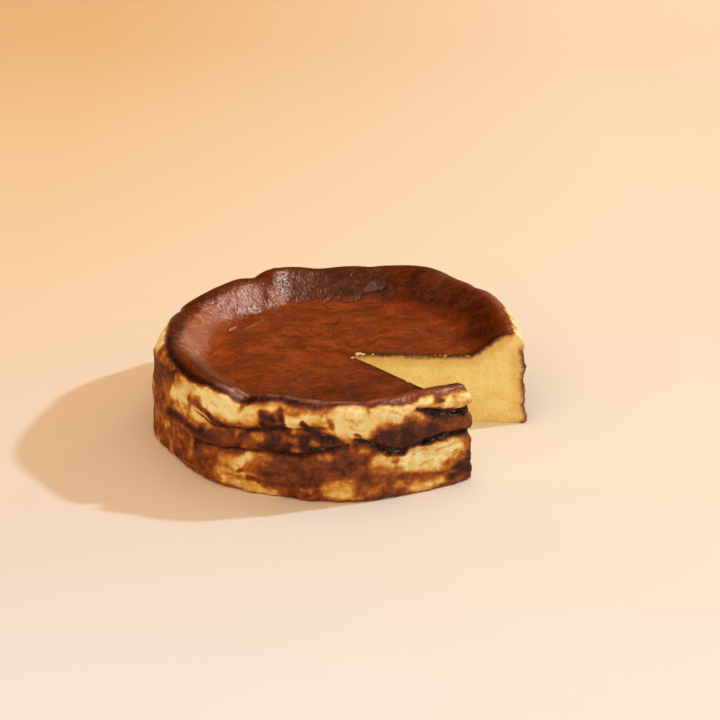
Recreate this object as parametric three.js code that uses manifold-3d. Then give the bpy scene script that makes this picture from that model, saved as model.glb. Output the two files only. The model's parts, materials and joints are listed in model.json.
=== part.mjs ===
// A basque cheesecake: a deep round cheesecake baked dark in crumpled paper, with one slice taken out.
// Millimetres, +Z up. The origin is on the cake's axis, in the plane that it stands on,
// and the gap of the missing slice opens along +X. Angles are in degrees, counterclockwise from +X.

import * as THREE from "three";
import { ParametricGeometry } from "three/addons/geometries/ParametricGeometry.js";
import { mergeVertices } from "three/addons/utils/BufferGeometryUtils.js";
import Module from "manifold-3d";

// Driving sizes
const WALL_RADIUS = 100; // mean radius of the wall
const RIM_HEIGHT = 52; // of the rim's crest
const CENTRE_HEIGHT = 37.5; // of the sunken middle
const SLICE_ANGLE = 45; // an eighth of the cake is gone
const SLICE_POINT = 3; // from the axis to the line where the planes of the two cuts meet
const SLICE_END = 9; // from the axis to the blunt inner end of the gap, where the slice's point tore off

// The section of the cake
const WALL_TAPER = 2.4; // how much further out the wall stands at its foot than at the rim
const RIM_INSET = 6; // from the wall in to the rim's crest
const LIP_HEIGHT = 7; // of the rounded shoulder between wall and crest
const SLOPE_WIDTH = 25; // from the crest in to the sunken floor
const FLOOR_RISE = 1; // of the floor, from the middle out to the slope
const FOOT_ROUND = 2.5; // rounding of the lower edge

// The paper's pleats make slow waves in the outline: how many round the cake, how far out,
// and where one peaks.
const OUTLINE_WAVES = [
  { lobes: 2, swell: 1.8, peak: -77 },
  { lobes: 9, swell: 1.2, peak: -60 },
];

// Where the rim stands higher or lower than its mean height: middle, rise and half width round the cake.
const RIM_SWELLS = [
  { at: 86, rise: 2.8, spread: 11 },
  { at: 107, rise: -1.6, spread: 12 },
  { at: 125, rise: -2.2, spread: 8 },
  { at: 149, rise: -2, spread: 5 },
  { at: 183, rise: -3, spread: 18 },
  { at: -128, rise: 1.2, spread: 8 },
  { at: -94, rise: -5.4, spread: 3 },
  { at: -56, rise: -1.4, spread: 3 },
  { at: -19, rise: -1.8, spread: 6 },
];

// Pleats that run down the wall from the rim: middle, depth at the rim and half width.
const PLEATS = [
  { at: -94, depth: 2.4, spread: 3 },
  { at: -80, depth: 1.6, spread: 2.6 },
  { at: -56, depth: 1.4, spread: 2.4 },
  { at: 25, depth: 1.6, spread: 9 },
  { at: 65, depth: 1.8, spread: 3 },
  { at: 107, depth: 2.2, spread: 3.2 },
  { at: 149, depth: 2, spread: 2.8 },
  { at: 185, depth: 1.8, spread: 3 },
];
const PLEAT_AT_FOOT = 0.35; // share of a pleat's depth that is left at the foot

// Creases that the folded paper pressed into the wall: the stretch round the cake,
// the heights that each passes at even steps along it, and its depth and half width.
const CREASES = [
  {
    from: -113, to: -63, depth: 1.6, spread: 2.4,
    heights: [36.5, 32, 33, 35.5, 38.3, 41],
  },
  {
    from: -116, to: -56, depth: 2.2, spread: 2.4,
    heights: [17.5, 18.6, 19.8, 20.8, 22.1, 23.3, 22.6, 22.6, 26.5, 28.8, 30],
  },
  {
    from: -61, to: -11, depth: 3, spread: 2.5,
    heights: [35.5, 32.4, 28, 24.3, 25.5, 27.6, 28.8, 28.2, 27.3, 27, 27],
  },
  {
    from: -43, to: -11, depth: 2.4, spread: 2.3,
    heights: [46, 41, 40, 39.5],
  },
];

// The side that faces away has creases of the same kind, by a rule: two levels in turn, each with
// a slow wave, whose phase in radians moves on from knot to knot and from crease to crease.
const FAR_CREASES = {
  from: 17, count: 5, step: 36, length: 48, levels: [24, 37], depths: [2.5, 1.7], spread: 2.5,
  wave: { knots: 5, height: 2.8, eachKnot: 2.1, eachCrease: 1.7 },
};
const CREASE_FADE = 8; // degrees over which a crease dies away at each end
// The roll of cake that overhangs a crease, in shares of the crease's own depth and half width
const CREASE_LIP = { share: 0.5, above: 2.1, spread: 1.3 };

// Facets round the cake, and rows of facets along each stretch of its section
const COLUMNS = 158;
const ROWS = { under: 1, foot: 2, wall: 25, lip: 4, slope: 6, floor: 2 };

const CRUST = new THREE.MeshStandardMaterial({ color: 0x7b3615, roughness: 0.5, metalness: 0 });

const radians = THREE.MathUtils.degToRad;
const smooth = THREE.MathUtils.smoothstep;

// Degrees between two bearings, from -180 to 180.
function bearing(angle, from) {
  return THREE.MathUtils.euclideanModulo(angle - from + 180, 360) - 180;
}

// A rounded bump of height 1 that is down to a third at one spread from its middle.
function bump(distance, spread) {
  return Math.exp(-((distance / spread) ** 2));
}

// The wall's radius at a bearing, before pleats and creases.
function outline(angle) {
  const waves = OUTLINE_WAVES.map((w) => w.swell * Math.cos(radians(w.lobes * (angle - w.peak))));
  return waves.reduce((sum, wave) => sum + wave, WALL_RADIUS);
}

// The height of the rim's crest at a bearing.
function crest(angle) {
  const swells = RIM_SWELLS.map((s) => s.rise * bump(bearing(angle, s.at), s.spread));
  return swells.reduce((sum, swell) => sum + swell, RIM_HEIGHT);
}

// How far the pleats draw the wall in, at a bearing and a share of the rim's height.
function pleating(angle, share) {
  const reach = THREE.MathUtils.lerp(PLEAT_AT_FOOT, 1, share);
  return PLEATS.reduce((sum, p) => sum + reach * p.depth * bump(bearing(angle, p.at), p.spread), 0);
}

// The creases of the far side, in the same terms as those in CREASES.
function farCreases() {
  const { from, count, step, length, levels, depths, spread, wave } = FAR_CREASES;
  return Array.from({ length: count }, (_, i) => {
    const start = from + i * step;
    const level = levels[i % levels.length];
    const phase = (k) => wave.eachKnot * k + wave.eachCrease * i;
    const heights = Array.from({ length: wave.knots }, (_, k) => level + wave.height * Math.sin(phase(k)));
    return { from: start, to: start + length, heights, depth: depths[i % depths.length], spread };
  });
}

// The height of a crease a share of the way along it: a smooth curve through its heights.
function creaseHeight({ heights }, share) {
  const steps = heights.length - 1;
  const at = steps * THREE.MathUtils.clamp(share, 0, 1);
  const i = Math.min(Math.floor(at), steps - 1);
  const t = at - i;
  const knot = (k) => heights[THREE.MathUtils.clamp(k, 0, steps)];
  const leave = (knot(i + 1) - knot(i - 1)) / 2;
  const arrive = (knot(i + 2) - knot(i)) / 2;
  const climb = (knot(i + 1) - knot(i)) * t * t * (3 - 2 * t);
  return knot(i) + climb + leave * t * (1 - t) ** 2 - arrive * t * t * (1 - t);
}

// How far one crease moves the wall out (its overhanging lip) or in (its groove).
function creasing(crease, angle, height) {
  const length = crease.to - crease.from;
  const along = bearing(angle, crease.from + length / 2) + length / 2;
  const fade = smooth(along, 0, CREASE_FADE) * (1 - smooth(along, length - CREASE_FADE, length));
  const rise = height - creaseHeight(crease, along / length);
  const groove = bump(rise, crease.spread);
  const aboveLip = rise - CREASE_LIP.above * crease.spread;
  const lip = CREASE_LIP.share * bump(aboveLip, CREASE_LIP.spread * crease.spread);
  return fade * crease.depth * (lip - groove);
}

const ALL_CREASES = [...CREASES, ...farCreases()];

// The wall's radius at a bearing and height, with all its relief.
function wallRadius(angle, height) {
  const share = height / crest(angle);
  const relief = ALL_CREASES.reduce((sum, c) => sum + creasing(c, angle, height), 0);
  return outline(angle) + WALL_TAPER * (0.5 - share) - pleating(angle, share) + relief;
}

// The radius of the sunken floor at a bearing: the outline again, with the pleats smoothed out.
function floorRadius(angle) {
  return outline(angle) - WALL_TAPER / 2 - RIM_INSET - SLOPE_WIDTH;
}

// The stretches of the section, in order from the middle of the underside to the middle of the top.
// Each gives the radius and height a share t of the way along it.
const SECTION = [
  { rows: ROWS.under, at: (angle, t) => [t * (wallRadius(angle, 0) - FOOT_ROUND), 0] },
  {
    rows: ROWS.foot,
    at: (angle, t) => {
      const turn = (t * Math.PI) / 2;
      const height = FOOT_ROUND * (1 - Math.cos(turn));
      return [wallRadius(angle, height) - FOOT_ROUND * (1 - Math.sin(turn)), height];
    },
  },
  {
    rows: ROWS.wall,
    at: (angle, t) => {
      const height = THREE.MathUtils.lerp(FOOT_ROUND, crest(angle) - LIP_HEIGHT, t);
      return [wallRadius(angle, height), height];
    },
  },
  {
    rows: ROWS.lip,
    at: (angle, t) => {
      const turn = (t * Math.PI) / 2;
      const height = crest(angle) - LIP_HEIGHT * (1 - Math.sin(turn));
      return [wallRadius(angle, height) - RIM_INSET * (1 - Math.cos(turn)), height];
    },
  },
  {
    rows: ROWS.slope,
    at: (angle, t) => {
      const top = crest(angle);
      const drop = top - (CENTRE_HEIGHT + FLOOR_RISE);
      const radius = THREE.MathUtils.lerp(wallRadius(angle, top) - RIM_INSET, floorRadius(angle), t);
      return [radius, top - (drop * (1 - Math.cos(t * Math.PI))) / 2];
    },
  },
  {
    rows: ROWS.floor,
    at: (angle, t) => [floorRadius(angle) * (1 - t), CENTRE_HEIGHT + FLOOR_RISE * (1 - t) ** 2],
  },
];
const ALL_ROWS = SECTION.reduce((sum, stretch) => sum + stretch.rows, 0);

// The skin of the whole cake: round goes once about its axis, along runs up its section.
function skin(round, along, target) {
  const angle = 360 * (round % 1);
  let row = Math.round(along * ALL_ROWS);
  let i = 0;
  while (row > SECTION[i].rows) {
    row -= SECTION[i].rows;
    i += 1;
  }
  const [radius, height] = SECTION[i].at(angle, row / SECTION[i].rows);
  target.set(radius * Math.cos(radians(angle)), radius * Math.sin(radians(angle)), height);
}

// The space of the missing slice: a wedge with a blunt end, from near the axis out past the wall,
// and past top and bottom.
function sliceGeometry() {
  const widening = Math.tan(radians(SLICE_ANGLE / 2));
  const half = (x) => widening * (x - SLICE_POINT);
  const reach = 1.3 * WALL_RADIUS;
  const wedge = new THREE.Shape();
  wedge.moveTo(SLICE_END, half(SLICE_END));
  wedge.lineTo(SLICE_END, -half(SLICE_END));
  wedge.lineTo(reach, -half(reach));
  wedge.lineTo(reach, half(reach));
  wedge.closePath();
  const depth = 2 * RIM_HEIGHT;
  return new THREE.ExtrudeGeometry(wedge, { depth, bevelEnabled: false }).translate(0, 0, -depth / 4);
}

const SAME_PLACE = 1e-4; // vertices nearer than this are one

const wasm = await Module();
wasm.setup();

// A closed geometry as a solid: vertices merged by place, and the facets that shrank to a line
// at the axis dropped.
function solid(geometry) {
  geometry.deleteAttribute("normal");
  geometry.deleteAttribute("uv");
  const merged = mergeVertices(geometry, SAME_PLACE);
  const corners = merged.index.array;
  const kept = [];
  for (let i = 0; i < corners.length; i += 3) {
    const [a, b, c] = corners.slice(i, i + 3);
    if (a !== b && b !== c && c !== a) kept.push(a, b, c);
  }
  const vertProperties = new Float32Array(merged.attributes.position.array);
  const triVerts = new Uint32Array(kept);
  return new wasm.Manifold(new wasm.Mesh({ numProp: 3, vertProperties, triVerts }));
}

// A solid's surface as a geometry.
function surface(made) {
  const { vertProperties, triVerts } = made.getMesh();
  const geometry = new THREE.BufferGeometry();
  geometry.setAttribute("position", new THREE.BufferAttribute(vertProperties, 3));
  geometry.setIndex(new THREE.BufferAttribute(triVerts, 1));
  geometry.computeVertexNormals();
  return geometry;
}

const whole = solid(new ParametricGeometry(skin, COLUMNS, ALL_ROWS));
const cheesecake = new THREE.Mesh(surface(whole.subtract(solid(sliceGeometry()))), CRUST);
cheesecake.name = "cheesecake";

const cake = new THREE.Group();
cake.add(cheesecake);

export default cake;
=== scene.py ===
"""Looks of a basque cheesecake: a dark sunken top, a wall marbled by paper, and the cuts of a missing slice.

Sizes are in millimetres until a mesh is made. The frame is the part's own: the origin on the cake's axis in
the plane that it stands on, +Z up, +X along the middle of the gap. Bearings are in degrees, counterclockwise
from +X. A range holds the two ends of a spread of values.
"""

from __future__ import annotations

import json
import logging
import math
from dataclasses import dataclass, field, replace
from enum import Enum, IntEnum

import bpy
import numpy as np
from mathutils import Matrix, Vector

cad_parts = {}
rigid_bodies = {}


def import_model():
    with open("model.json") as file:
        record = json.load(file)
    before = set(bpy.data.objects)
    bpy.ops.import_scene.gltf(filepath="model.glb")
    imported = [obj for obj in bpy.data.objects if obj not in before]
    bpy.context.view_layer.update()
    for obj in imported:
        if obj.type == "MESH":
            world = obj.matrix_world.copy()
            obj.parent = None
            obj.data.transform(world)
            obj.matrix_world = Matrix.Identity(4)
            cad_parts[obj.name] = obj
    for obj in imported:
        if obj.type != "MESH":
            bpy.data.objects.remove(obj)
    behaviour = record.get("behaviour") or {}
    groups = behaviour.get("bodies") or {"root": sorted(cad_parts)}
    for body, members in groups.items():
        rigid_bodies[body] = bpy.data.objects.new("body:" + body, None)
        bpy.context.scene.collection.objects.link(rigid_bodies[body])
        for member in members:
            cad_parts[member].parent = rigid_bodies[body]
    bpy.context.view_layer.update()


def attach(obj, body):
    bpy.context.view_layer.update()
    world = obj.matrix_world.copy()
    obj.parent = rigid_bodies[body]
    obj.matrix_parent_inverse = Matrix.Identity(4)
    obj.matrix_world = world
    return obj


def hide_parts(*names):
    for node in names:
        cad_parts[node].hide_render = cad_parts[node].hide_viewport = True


Array = np.ndarray
Colour = tuple[int, int, int]
Stops = tuple[tuple[float, Colour], ...]
Range = tuple[float, float]
Triple = tuple[float, float, float]
Socket = bpy.types.NodeSocket
LOG = logging.getLogger("cheesecake")
MM = 0.001
NODE = "cheesecake"

# How far the camera stands round from -Y towards +X, in degrees.
VIEW_AZIMUTH = 27.5

# The values painted on the skin's points, which its finish reads.
SKIN_VALUES = ("browning", "crust", "tone", "char", "wet", "steep", "bloom")


def turn(bearing: Array, start: float) -> Array:
    """Degrees from one bearing to another, from -180 to 180."""
    return (bearing - start + 180.0) % 360.0 - 180.0


def ease(low: float, high: float, value: Array) -> Array:
    """A smooth step from 0 at low to 1 at high: 3t squared less 2t cubed."""
    share = np.clip((value - low) / (high - low), 0.0, 1.0)
    return share * share * (3.0 - 2.0 * share)


def blend(start: Array, end: Array, share: Array) -> Array:
    """The straight mix of two values."""
    return start + (end - start) * share


def linear(colour: Colour) -> tuple[float, float, float, float]:
    """A screen colour, 0 to 255, as the linear light that a shader takes."""
    parts = np.array(colour) / 255.0
    light = np.where(parts <= 0.04045, parts / 12.92, ((parts + 0.055) / 1.055) ** 2.4)
    return (*(float(part) for part in light), 1.0)


@dataclass(frozen=True)
class Lumps:
    """Smooth seeded noise in space, about -1 to 1.

    Random values sit on a cubic lattice one size apart. A point takes the eight values round it, weighted by
    a quintic ease along each axis. A lattice point's three numbers, each times a large prime, are mixed into
    its place in the table of values. Each further layer is half the size and half as strong.
    """

    seed: int
    size: float
    layers: int = 3
    gain: float = 1.4
    layer_shift: float = 31.7
    table_length: int = 4099
    scatter: tuple[int, int, int] = (73856093, 19349663, 83492791)

    def at(self, points: Array) -> Array:
        """The noise at an array of points.

        Args:
            points: Places in millimetres, with x, y and z last.

        Returns:
            One value for each point.
        """
        table = np.random.default_rng(self.seed).uniform(-1.0, 1.0, self.table_length)
        total = np.zeros(points.shape[:-1])
        for layer in range(self.layers):
            finer = 2.0**layer
            total += self._layer(points * finer / self.size + self.layer_shift * layer, table) / finer
        return total * self.gain / (2.0 - 2.0 ** (1 - self.layers))

    def _layer(self, points: Array, table: Array) -> Array:
        """One layer of noise, on a lattice of whole numbers."""
        cell = np.floor(points).astype(np.int64)
        share = points - cell
        share = share**3 * (share * (6.0 * share - 15.0) + 10.0)
        total = np.zeros(points.shape[:-1])
        for corner in np.ndindex(2, 2, 2):
            key = np.bitwise_xor.reduce((cell + corner) * self.scatter, axis=-1)
            total += np.prod(np.where(corner, share, 1.0 - share), axis=-1) * table[key % len(table)]
        return total


Mix = tuple[tuple[float, Lumps], ...]


def mixed(parts: Mix, points: Array) -> Array:
    """The sum of several noises at an array of points, each with its strength."""
    return sum(strength * lumps.at(points) for strength, lumps in parts)


@dataclass(frozen=True)
class Swell:
    """A rounded rise round the cake, or with a minus a dip. Its middle and half width are in degrees."""

    at: float
    rise: float
    spread: float

    def of(self, bearing: Array) -> Array:
        """The rise at a bearing: a bell curve."""
        return self.rise * np.exp(-((turn(bearing, self.at) / self.spread) ** 2))


def swelling(swells: tuple[Swell, ...], bearing: Array) -> Array:
    """The sum of several swells at a bearing."""
    return sum(swell.of(bearing) for swell in swells)


@dataclass(frozen=True)
class Bell:
    """A bell curve across a band: its middle and its half width, in millimetres."""

    middle: float
    spread: float

    def of(self, distance: Array) -> Array:
        """1 at the middle, falling off on both sides."""
        return np.exp(-(((distance - self.middle) / self.spread) ** 2))


@dataclass(frozen=True)
class Wave:
    """A slow wave in the outline: how many lobes it has, how far they stand out, and where one peaks."""

    lobes: int
    swell: float
    peak: float

    def of(self, bearing: Array) -> Array:
        """The wave's height at a bearing: a cosine."""
        return self.swell * np.cos(np.radians(self.lobes * (bearing - self.peak)))


@dataclass(frozen=True)
class Crease:
    """A crease that the folded paper pressed into the wall, and the roll of cake that overhangs it."""

    start: float
    stop: float
    heights: tuple[float, ...]
    depth: float
    spread: float = 2.5
    char: float = 0.7
    fade: float = 8.0
    lip_share: float = 0.5
    lip_above: float = 2.1
    lip_spread: float = 1.3

    def _along(self, bearing: Array) -> Array:
        """Degrees from the crease's start."""
        length = self.stop - self.start
        return turn(bearing, self.start + length / 2) + length / 2

    def height(self, bearing: Array) -> Array:
        """The crease's height at a bearing: a smooth curve through its heights, which are evenly spaced."""
        steps = len(self.heights) - 1
        at = steps * np.clip(self._along(bearing) / (self.stop - self.start), 0.0, 1.0)
        first = np.minimum(np.floor(at).astype(int), steps - 1)
        share = at - first
        before, low, high, after = (
            np.asarray(self.heights)[np.clip(first + k, 0, steps)] for k in (-1, 0, 1, 2)
        )
        leave = (high - before) / 2 * share * (1 - share) ** 2
        arrive = (after - low) / 2 * share**2 * (1 - share)
        return low + (high - low) * share**2 * (3 - 2 * share) + leave - arrive

    def presence(self, bearing: Array) -> Array:
        """1 along the crease, easing to 0 at its two ends."""
        along = self._along(bearing)
        length = self.stop - self.start
        return ease(0.0, self.fade, along) * (1.0 - ease(length - self.fade, length, along))

    def groove(self, bearing: Array, height: Array, width: float = 1.0) -> Array:
        """1 in the bottom of the groove, falling off as a bell curve above and below it."""
        rise = height - self.height(bearing)
        return self.presence(bearing) * np.exp(-((rise / (width * self.spread)) ** 2))

    def relief(self, bearing: Array, height: Array) -> Array:
        """How far the crease moves the wall out, at its overhanging lip, or in, at its groove."""
        rise = height - self.height(bearing) - self.lip_above * self.spread
        lip = self.lip_share * np.exp(-((rise / (self.lip_spread * self.spread)) ** 2))
        return self.depth * (self.presence(bearing) * lip - self.groove(bearing, height))


def far_creases() -> tuple[Crease, ...]:
    """The creases of the side that faces away: two levels in turn round the wall, each with a slow wave."""
    levels, depths = (24.0, 37.0), (2.5, 1.7)
    first, step, length, wave = 17.0, 36.0, 48.0, 2.8
    count, knots, knot_phase, crease_phase = 5, 5, 2.1, 1.7
    made = []
    for i in range(count):
        phases = (knot_phase * k + crease_phase * i for k in range(knots))
        heights = tuple(levels[i % 2] + wave * math.sin(phase) for phase in phases)
        start = first + i * step
        made.append(Crease(start, start + length, heights, depths[i % 2]))
    return tuple(made)


@dataclass(frozen=True)
class CakeForm:
    """The cake's form, with the same sizes as its solid."""

    wall_radius: float = 100.0
    front: float = -85.0
    rim_height: float = 52.0
    centre_height: float = 37.5
    slice_angle: float = 45.0
    slice_point: float = 3.0
    slice_end: float = 9.0
    wall_taper: float = 2.4
    rim_inset: float = 6.0
    lip_height: float = 7.0
    slope_width: float = 25.0
    floor_rise: float = 1.0
    foot_round: float = 2.5
    pleat_at_foot: float = 0.35
    waves: tuple[Wave, ...] = (Wave(2, 1.8, -77.0), Wave(9, 1.2, -60.0))
    swells: tuple[Swell, ...] = (
        Swell(86.0, 2.8, 11.0),
        Swell(107.0, -1.6, 12.0),
        Swell(125.0, -2.2, 8.0),
        Swell(149.0, -2.0, 5.0),
        Swell(183.0, -3.0, 18.0),
        Swell(-128.0, 1.2, 8.0),
        Swell(-94.0, -5.4, 3.0),
        Swell(-56.0, -1.4, 3.0),
        Swell(-19.0, -1.8, 6.0),
    )
    pleats: tuple[Swell, ...] = (
        Swell(-94.0, 2.4, 3.0),
        Swell(-80.0, 1.6, 2.6),
        Swell(-56.0, 1.4, 2.4),
        Swell(25.0, 1.6, 9.0),
        Swell(65.0, 1.8, 3.0),
        Swell(107.0, 2.2, 3.2),
        Swell(149.0, 2.0, 2.8),
        Swell(185.0, 1.8, 3.0),
    )
    creases: tuple[Crease, ...] = (
        Crease(-113.0, -63.0, (36.5, 32.0, 33.0, 35.5, 38.3, 41.0), 1.6, 2.4, 0.2),
        Crease(
            -116.0, -56.0, (17.5, 18.6, 19.8, 20.8, 22.1, 23.3, 22.6, 22.6, 26.5, 28.8, 30.0), 2.2, 2.4, 0.4
        ),
        Crease(
            -61.0, -11.0, (35.5, 32.4, 28.0, 24.3, 25.5, 27.6, 28.8, 28.2, 27.3, 27.0, 27.0), 3.0, 2.5, 1.0
        ),
        Crease(-43.0, -11.0, (46.0, 41.0, 40.0, 39.5), 2.4, 2.3, 0.9),
    ) + far_creases()

    @property
    def end_half(self) -> float:
        """Half the width of the gap at its blunt end."""
        return (self.slice_end - self.slice_point) * math.tan(math.radians(self.slice_angle / 2))

    def outline(self, bearing: Array) -> Array:
        """The wall's radius before pleats and creases: the mean radius and the slow waves."""
        return self.wall_radius + sum(wave.of(bearing) for wave in self.waves)

    def crest(self, bearing: Array) -> Array:
        """The height of the rim's crest."""
        return self.rim_height + swelling(self.swells, bearing)

    def radius(self, bearing: Array, height: Array) -> Array:
        """The wall's radius with its taper, pleats and creases."""
        share = height / self.crest(bearing)
        reach = blend(self.pleat_at_foot, 1.0, share)
        pleating = reach * swelling(self.pleats, bearing)
        creasing = sum(crease.relief(bearing, height) for crease in self.creases)
        return self.outline(bearing) + self.wall_taper * (0.5 - share) - pleating + creasing

    def floor_radius(self, bearing: Array) -> Array:
        """The radius of the sunken floor: the outline again, with the pleats smoothed out."""
        return self.outline(bearing) - self.wall_taper / 2 - self.rim_inset - self.slope_width


class Stretch(IntEnum):
    """The stretches of the cake's section, from its lower edge over the rim to the middle of the top."""

    FOOT = 0
    WALL = 1
    LIP = 2
    SLOPE = 3
    FLOOR = 4


@dataclass
class Skin:
    """The cake's outer skin as a grid: rows run up the section, columns are rays from where the cuts meet.

    Because every column is such a ray, the first and last columns lie in the two cuts. Along a ray the skin
    is where the distance from the axis equals the section's radius at that place's own bearing, found by
    repetition. On the sunken floor the columns run straight from the slope's foot to the blunt end of the
    gap, which has a few points.
    """

    form: CakeForm
    columns: int = 540
    rows: tuple[int, ...] = (5, 58, 12, 34, 34)
    paces: tuple[float, ...] = (1.0, 1.0, 1.0, 1.0, 1.6)
    end_steps: int = 8
    closer: float = 0.9
    closer_half: float = 72.0
    bearings_tried: int = 3601
    rounds: int = 6
    ray: Array = field(init=False)
    stretch: Array = field(init=False)
    share: Array = field(init=False)
    points: Array = field(init=False)
    bearing: Array = field(init=False)
    normal: Array = field(init=False)
    beyond: Array = field(init=False)
    climb: Array = field(init=False)

    def __post_init__(self) -> None:
        """Works out the rows, the rays, which lie closer together round the front, and the plain grid."""
        self.stretch = np.concatenate([[Stretch.FOOT], np.repeat(list(Stretch), self.rows)])[:, None]
        shares = [(np.arange(1, n + 1) / n) ** pace for n, pace in zip(self.rows, self.paces)]
        self.share = np.concatenate([[0.0], *shares])[:, None]
        half = self.form.slice_angle / 2
        even = np.linspace(half, 360.0 - half, self.bearings_tried)
        close = 1.0 + self.closer * np.exp(-((turn(even, self.form.front) / self.closer_half) ** 4))
        pace = np.concatenate([[0.0], np.cumsum(close[1:])])
        self.ray = np.radians(np.interp(np.linspace(0.0, pace[-1], self.columns + 1), pace, even))[None, :]
        self._lay_out()
        self.measure()

    def row(self, stretch: Stretch) -> int:
        """The number of the last row of a stretch."""
        return sum(self.rows[: stretch + 1])

    def _section(self, bearing: Array) -> tuple[Array, Array]:
        """The radius and height of the section at each row and bearing, floor excepted.

        The foot is a quarter circle, the wall runs straight up, the lip is a quarter ellipse from the wall in
        to the crest, and the slope is half a cosine wave from the crest down to the floor.
        """
        form, share = self.form, self.share
        crest = form.crest(bearing)
        swing = share * math.pi / 2
        foot = form.foot_round * (1 - np.cos(swing))
        wall = blend(form.foot_round, crest - form.lip_height, share)
        lip = crest - form.lip_height * (1 - np.sin(swing))
        drop = crest - form.centre_height - form.floor_rise
        slope = crest - drop * (1 - np.cos(share * math.pi)) / 2
        height = np.choose(np.minimum(self.stretch, Stretch.SLOPE), [foot, wall, lip, slope])
        outer = form.radius(bearing, np.where(self.stretch >= Stretch.SLOPE, crest, height))
        radius = np.choose(
            np.minimum(self.stretch, Stretch.SLOPE),
            [
                outer - form.foot_round * (1 - np.sin(swing)),
                outer,
                outer - form.rim_inset * (1 - np.cos(swing)),
                blend(outer - form.rim_inset, form.floor_radius(bearing), share),
            ],
        )
        return radius, height

    def _lay_out(self) -> None:
        """Finds the plain grid: the reach along each ray, then x, y and z."""
        form, point = self.form, self.form.slice_point
        bearing = np.degrees(self.ray) + 0.0 * self.share
        for _ in range(self.rounds):
            radius, height = self._section(bearing)
            reach = np.sqrt(radius**2 - (point * np.sin(self.ray)) ** 2) - point * np.cos(self.ray)
            x, y = point + reach * np.cos(self.ray), reach * np.sin(self.ray)
            bearing = np.degrees(np.arctan2(y, x))
        across = np.linspace(1.0, -1.0, self.columns + 1)
        on_floor = self.stretch == Stretch.FLOOR
        foot = self.row(Stretch.SLOPE)
        x = np.where(on_floor, blend(x[foot], form.slice_end, self.share), x)
        y = np.where(on_floor, blend(y[foot], form.end_half * across, self.share), y)
        y[-1] = form.end_half * np.round(across * self.end_steps / 2) * 2 / self.end_steps
        self.bearing = np.degrees(np.arctan2(y, x))
        out = np.hypot(x, y) / form.floor_radius(self.bearing)
        height = np.where(on_floor, form.centre_height + form.floor_rise * out**2, height)
        self.points = np.stack([x, y, height], axis=-1)

    def measure(self) -> None:
        """Works out the outward normals, the way past the crest, and the climb up the wall and over the lip.

        A normal is the cross product of the steps along the row and up the column.
        """
        along = np.gradient(self.points, axis=1)
        up = np.gradient(self.points, axis=0)
        normal = np.cross(along, up)
        normal[-1] = (0.0, 0.0, 1.0)
        self.normal = normal / np.linalg.norm(normal, axis=-1, keepdims=True)
        steps = np.linalg.norm(np.diff(self.points, axis=0), axis=-1)
        length = np.concatenate([np.zeros((1, self.columns + 1)), np.cumsum(steps, axis=0)])
        self.beyond = length - length[self.row(Stretch.LIP)]
        shoulder = self.form.rim_height - self.form.lip_height
        share = self.points[..., 2] / (self.form.crest(self.bearing) - self.form.lip_height)
        past = self.beyond - self.beyond[self.row(Stretch.WALL)]
        self.climb = np.where(self.stretch <= Stretch.WALL, shoulder * share, shoulder + past)

    def push(self, distance: Array) -> None:
        """Moves the skin out along its normals, and keeps the two edges in the planes of the cuts.

        Args:
            distance: How far each point moves, in millimetres.
        """
        self.points = self.points + self.normal * distance[..., None]
        for column in (0, -1):
            angle = self.ray[0, column]
            across = np.array([-math.sin(angle), math.cos(angle), 0.0])
            aside = (self.points[:, column] - [self.form.slice_point, 0.0, 0.0]) @ across
            self.points[:, column] -= aside[:, None] * across
        self.points[0, :, 2] = 0.0
        self.points[..., 2] = np.maximum(self.points[..., 2], 0.0)
        self.measure()

    def on(self, stretch: Stretch) -> Array:
        """1 on a stretch's rows, 0 on the others."""
        return (self.stretch == stretch) + 0.0 * self.bearing

    def past_crest(self) -> Array:
        """True on the rows of the slope and the floor."""
        return self.stretch >= Stretch.SLOPE

    def to_cut(self) -> Array:
        """The level distance from each point to the nearer cut."""
        half = math.radians(self.form.slice_angle / 2)
        x, y = self.points[..., 0], np.abs(self.points[..., 1])
        return np.abs(y * math.cos(half) - (x - self.form.slice_point) * math.sin(half))


@dataclass(frozen=True)
class Fold:
    """A low ridge in the crust, or with a minus a groove. Its path is given as bearings and radii."""

    path: tuple[tuple[float, float], ...]
    rise: float
    reach: float
    wet: float = 0.0

    def mask(self, points: Array) -> Array:
        """1 on the path, falling off as a bell curve of the level distance from it.

        Args:
            points: Places in millimetres, with x, y and z last.

        Returns:
            One value for each point.
        """
        angle, radius = np.radians(self.path).T[0], np.array(self.path).T[1]
        knots = np.stack([radius * np.cos(angle), radius * np.sin(angle)], axis=-1)
        nearest = np.full(points.shape[:-1], np.inf)
        for start, end in zip(knots, knots[1:]):
            away, line = points[..., :2] - start, end - start
            along = np.clip((away @ line) / (line @ line), 0.0, 1.0)
            nearest = np.minimum(nearest, np.linalg.norm(away - along[..., None] * line, axis=-1))
        return np.exp(-((nearest / self.reach) ** 2))


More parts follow.
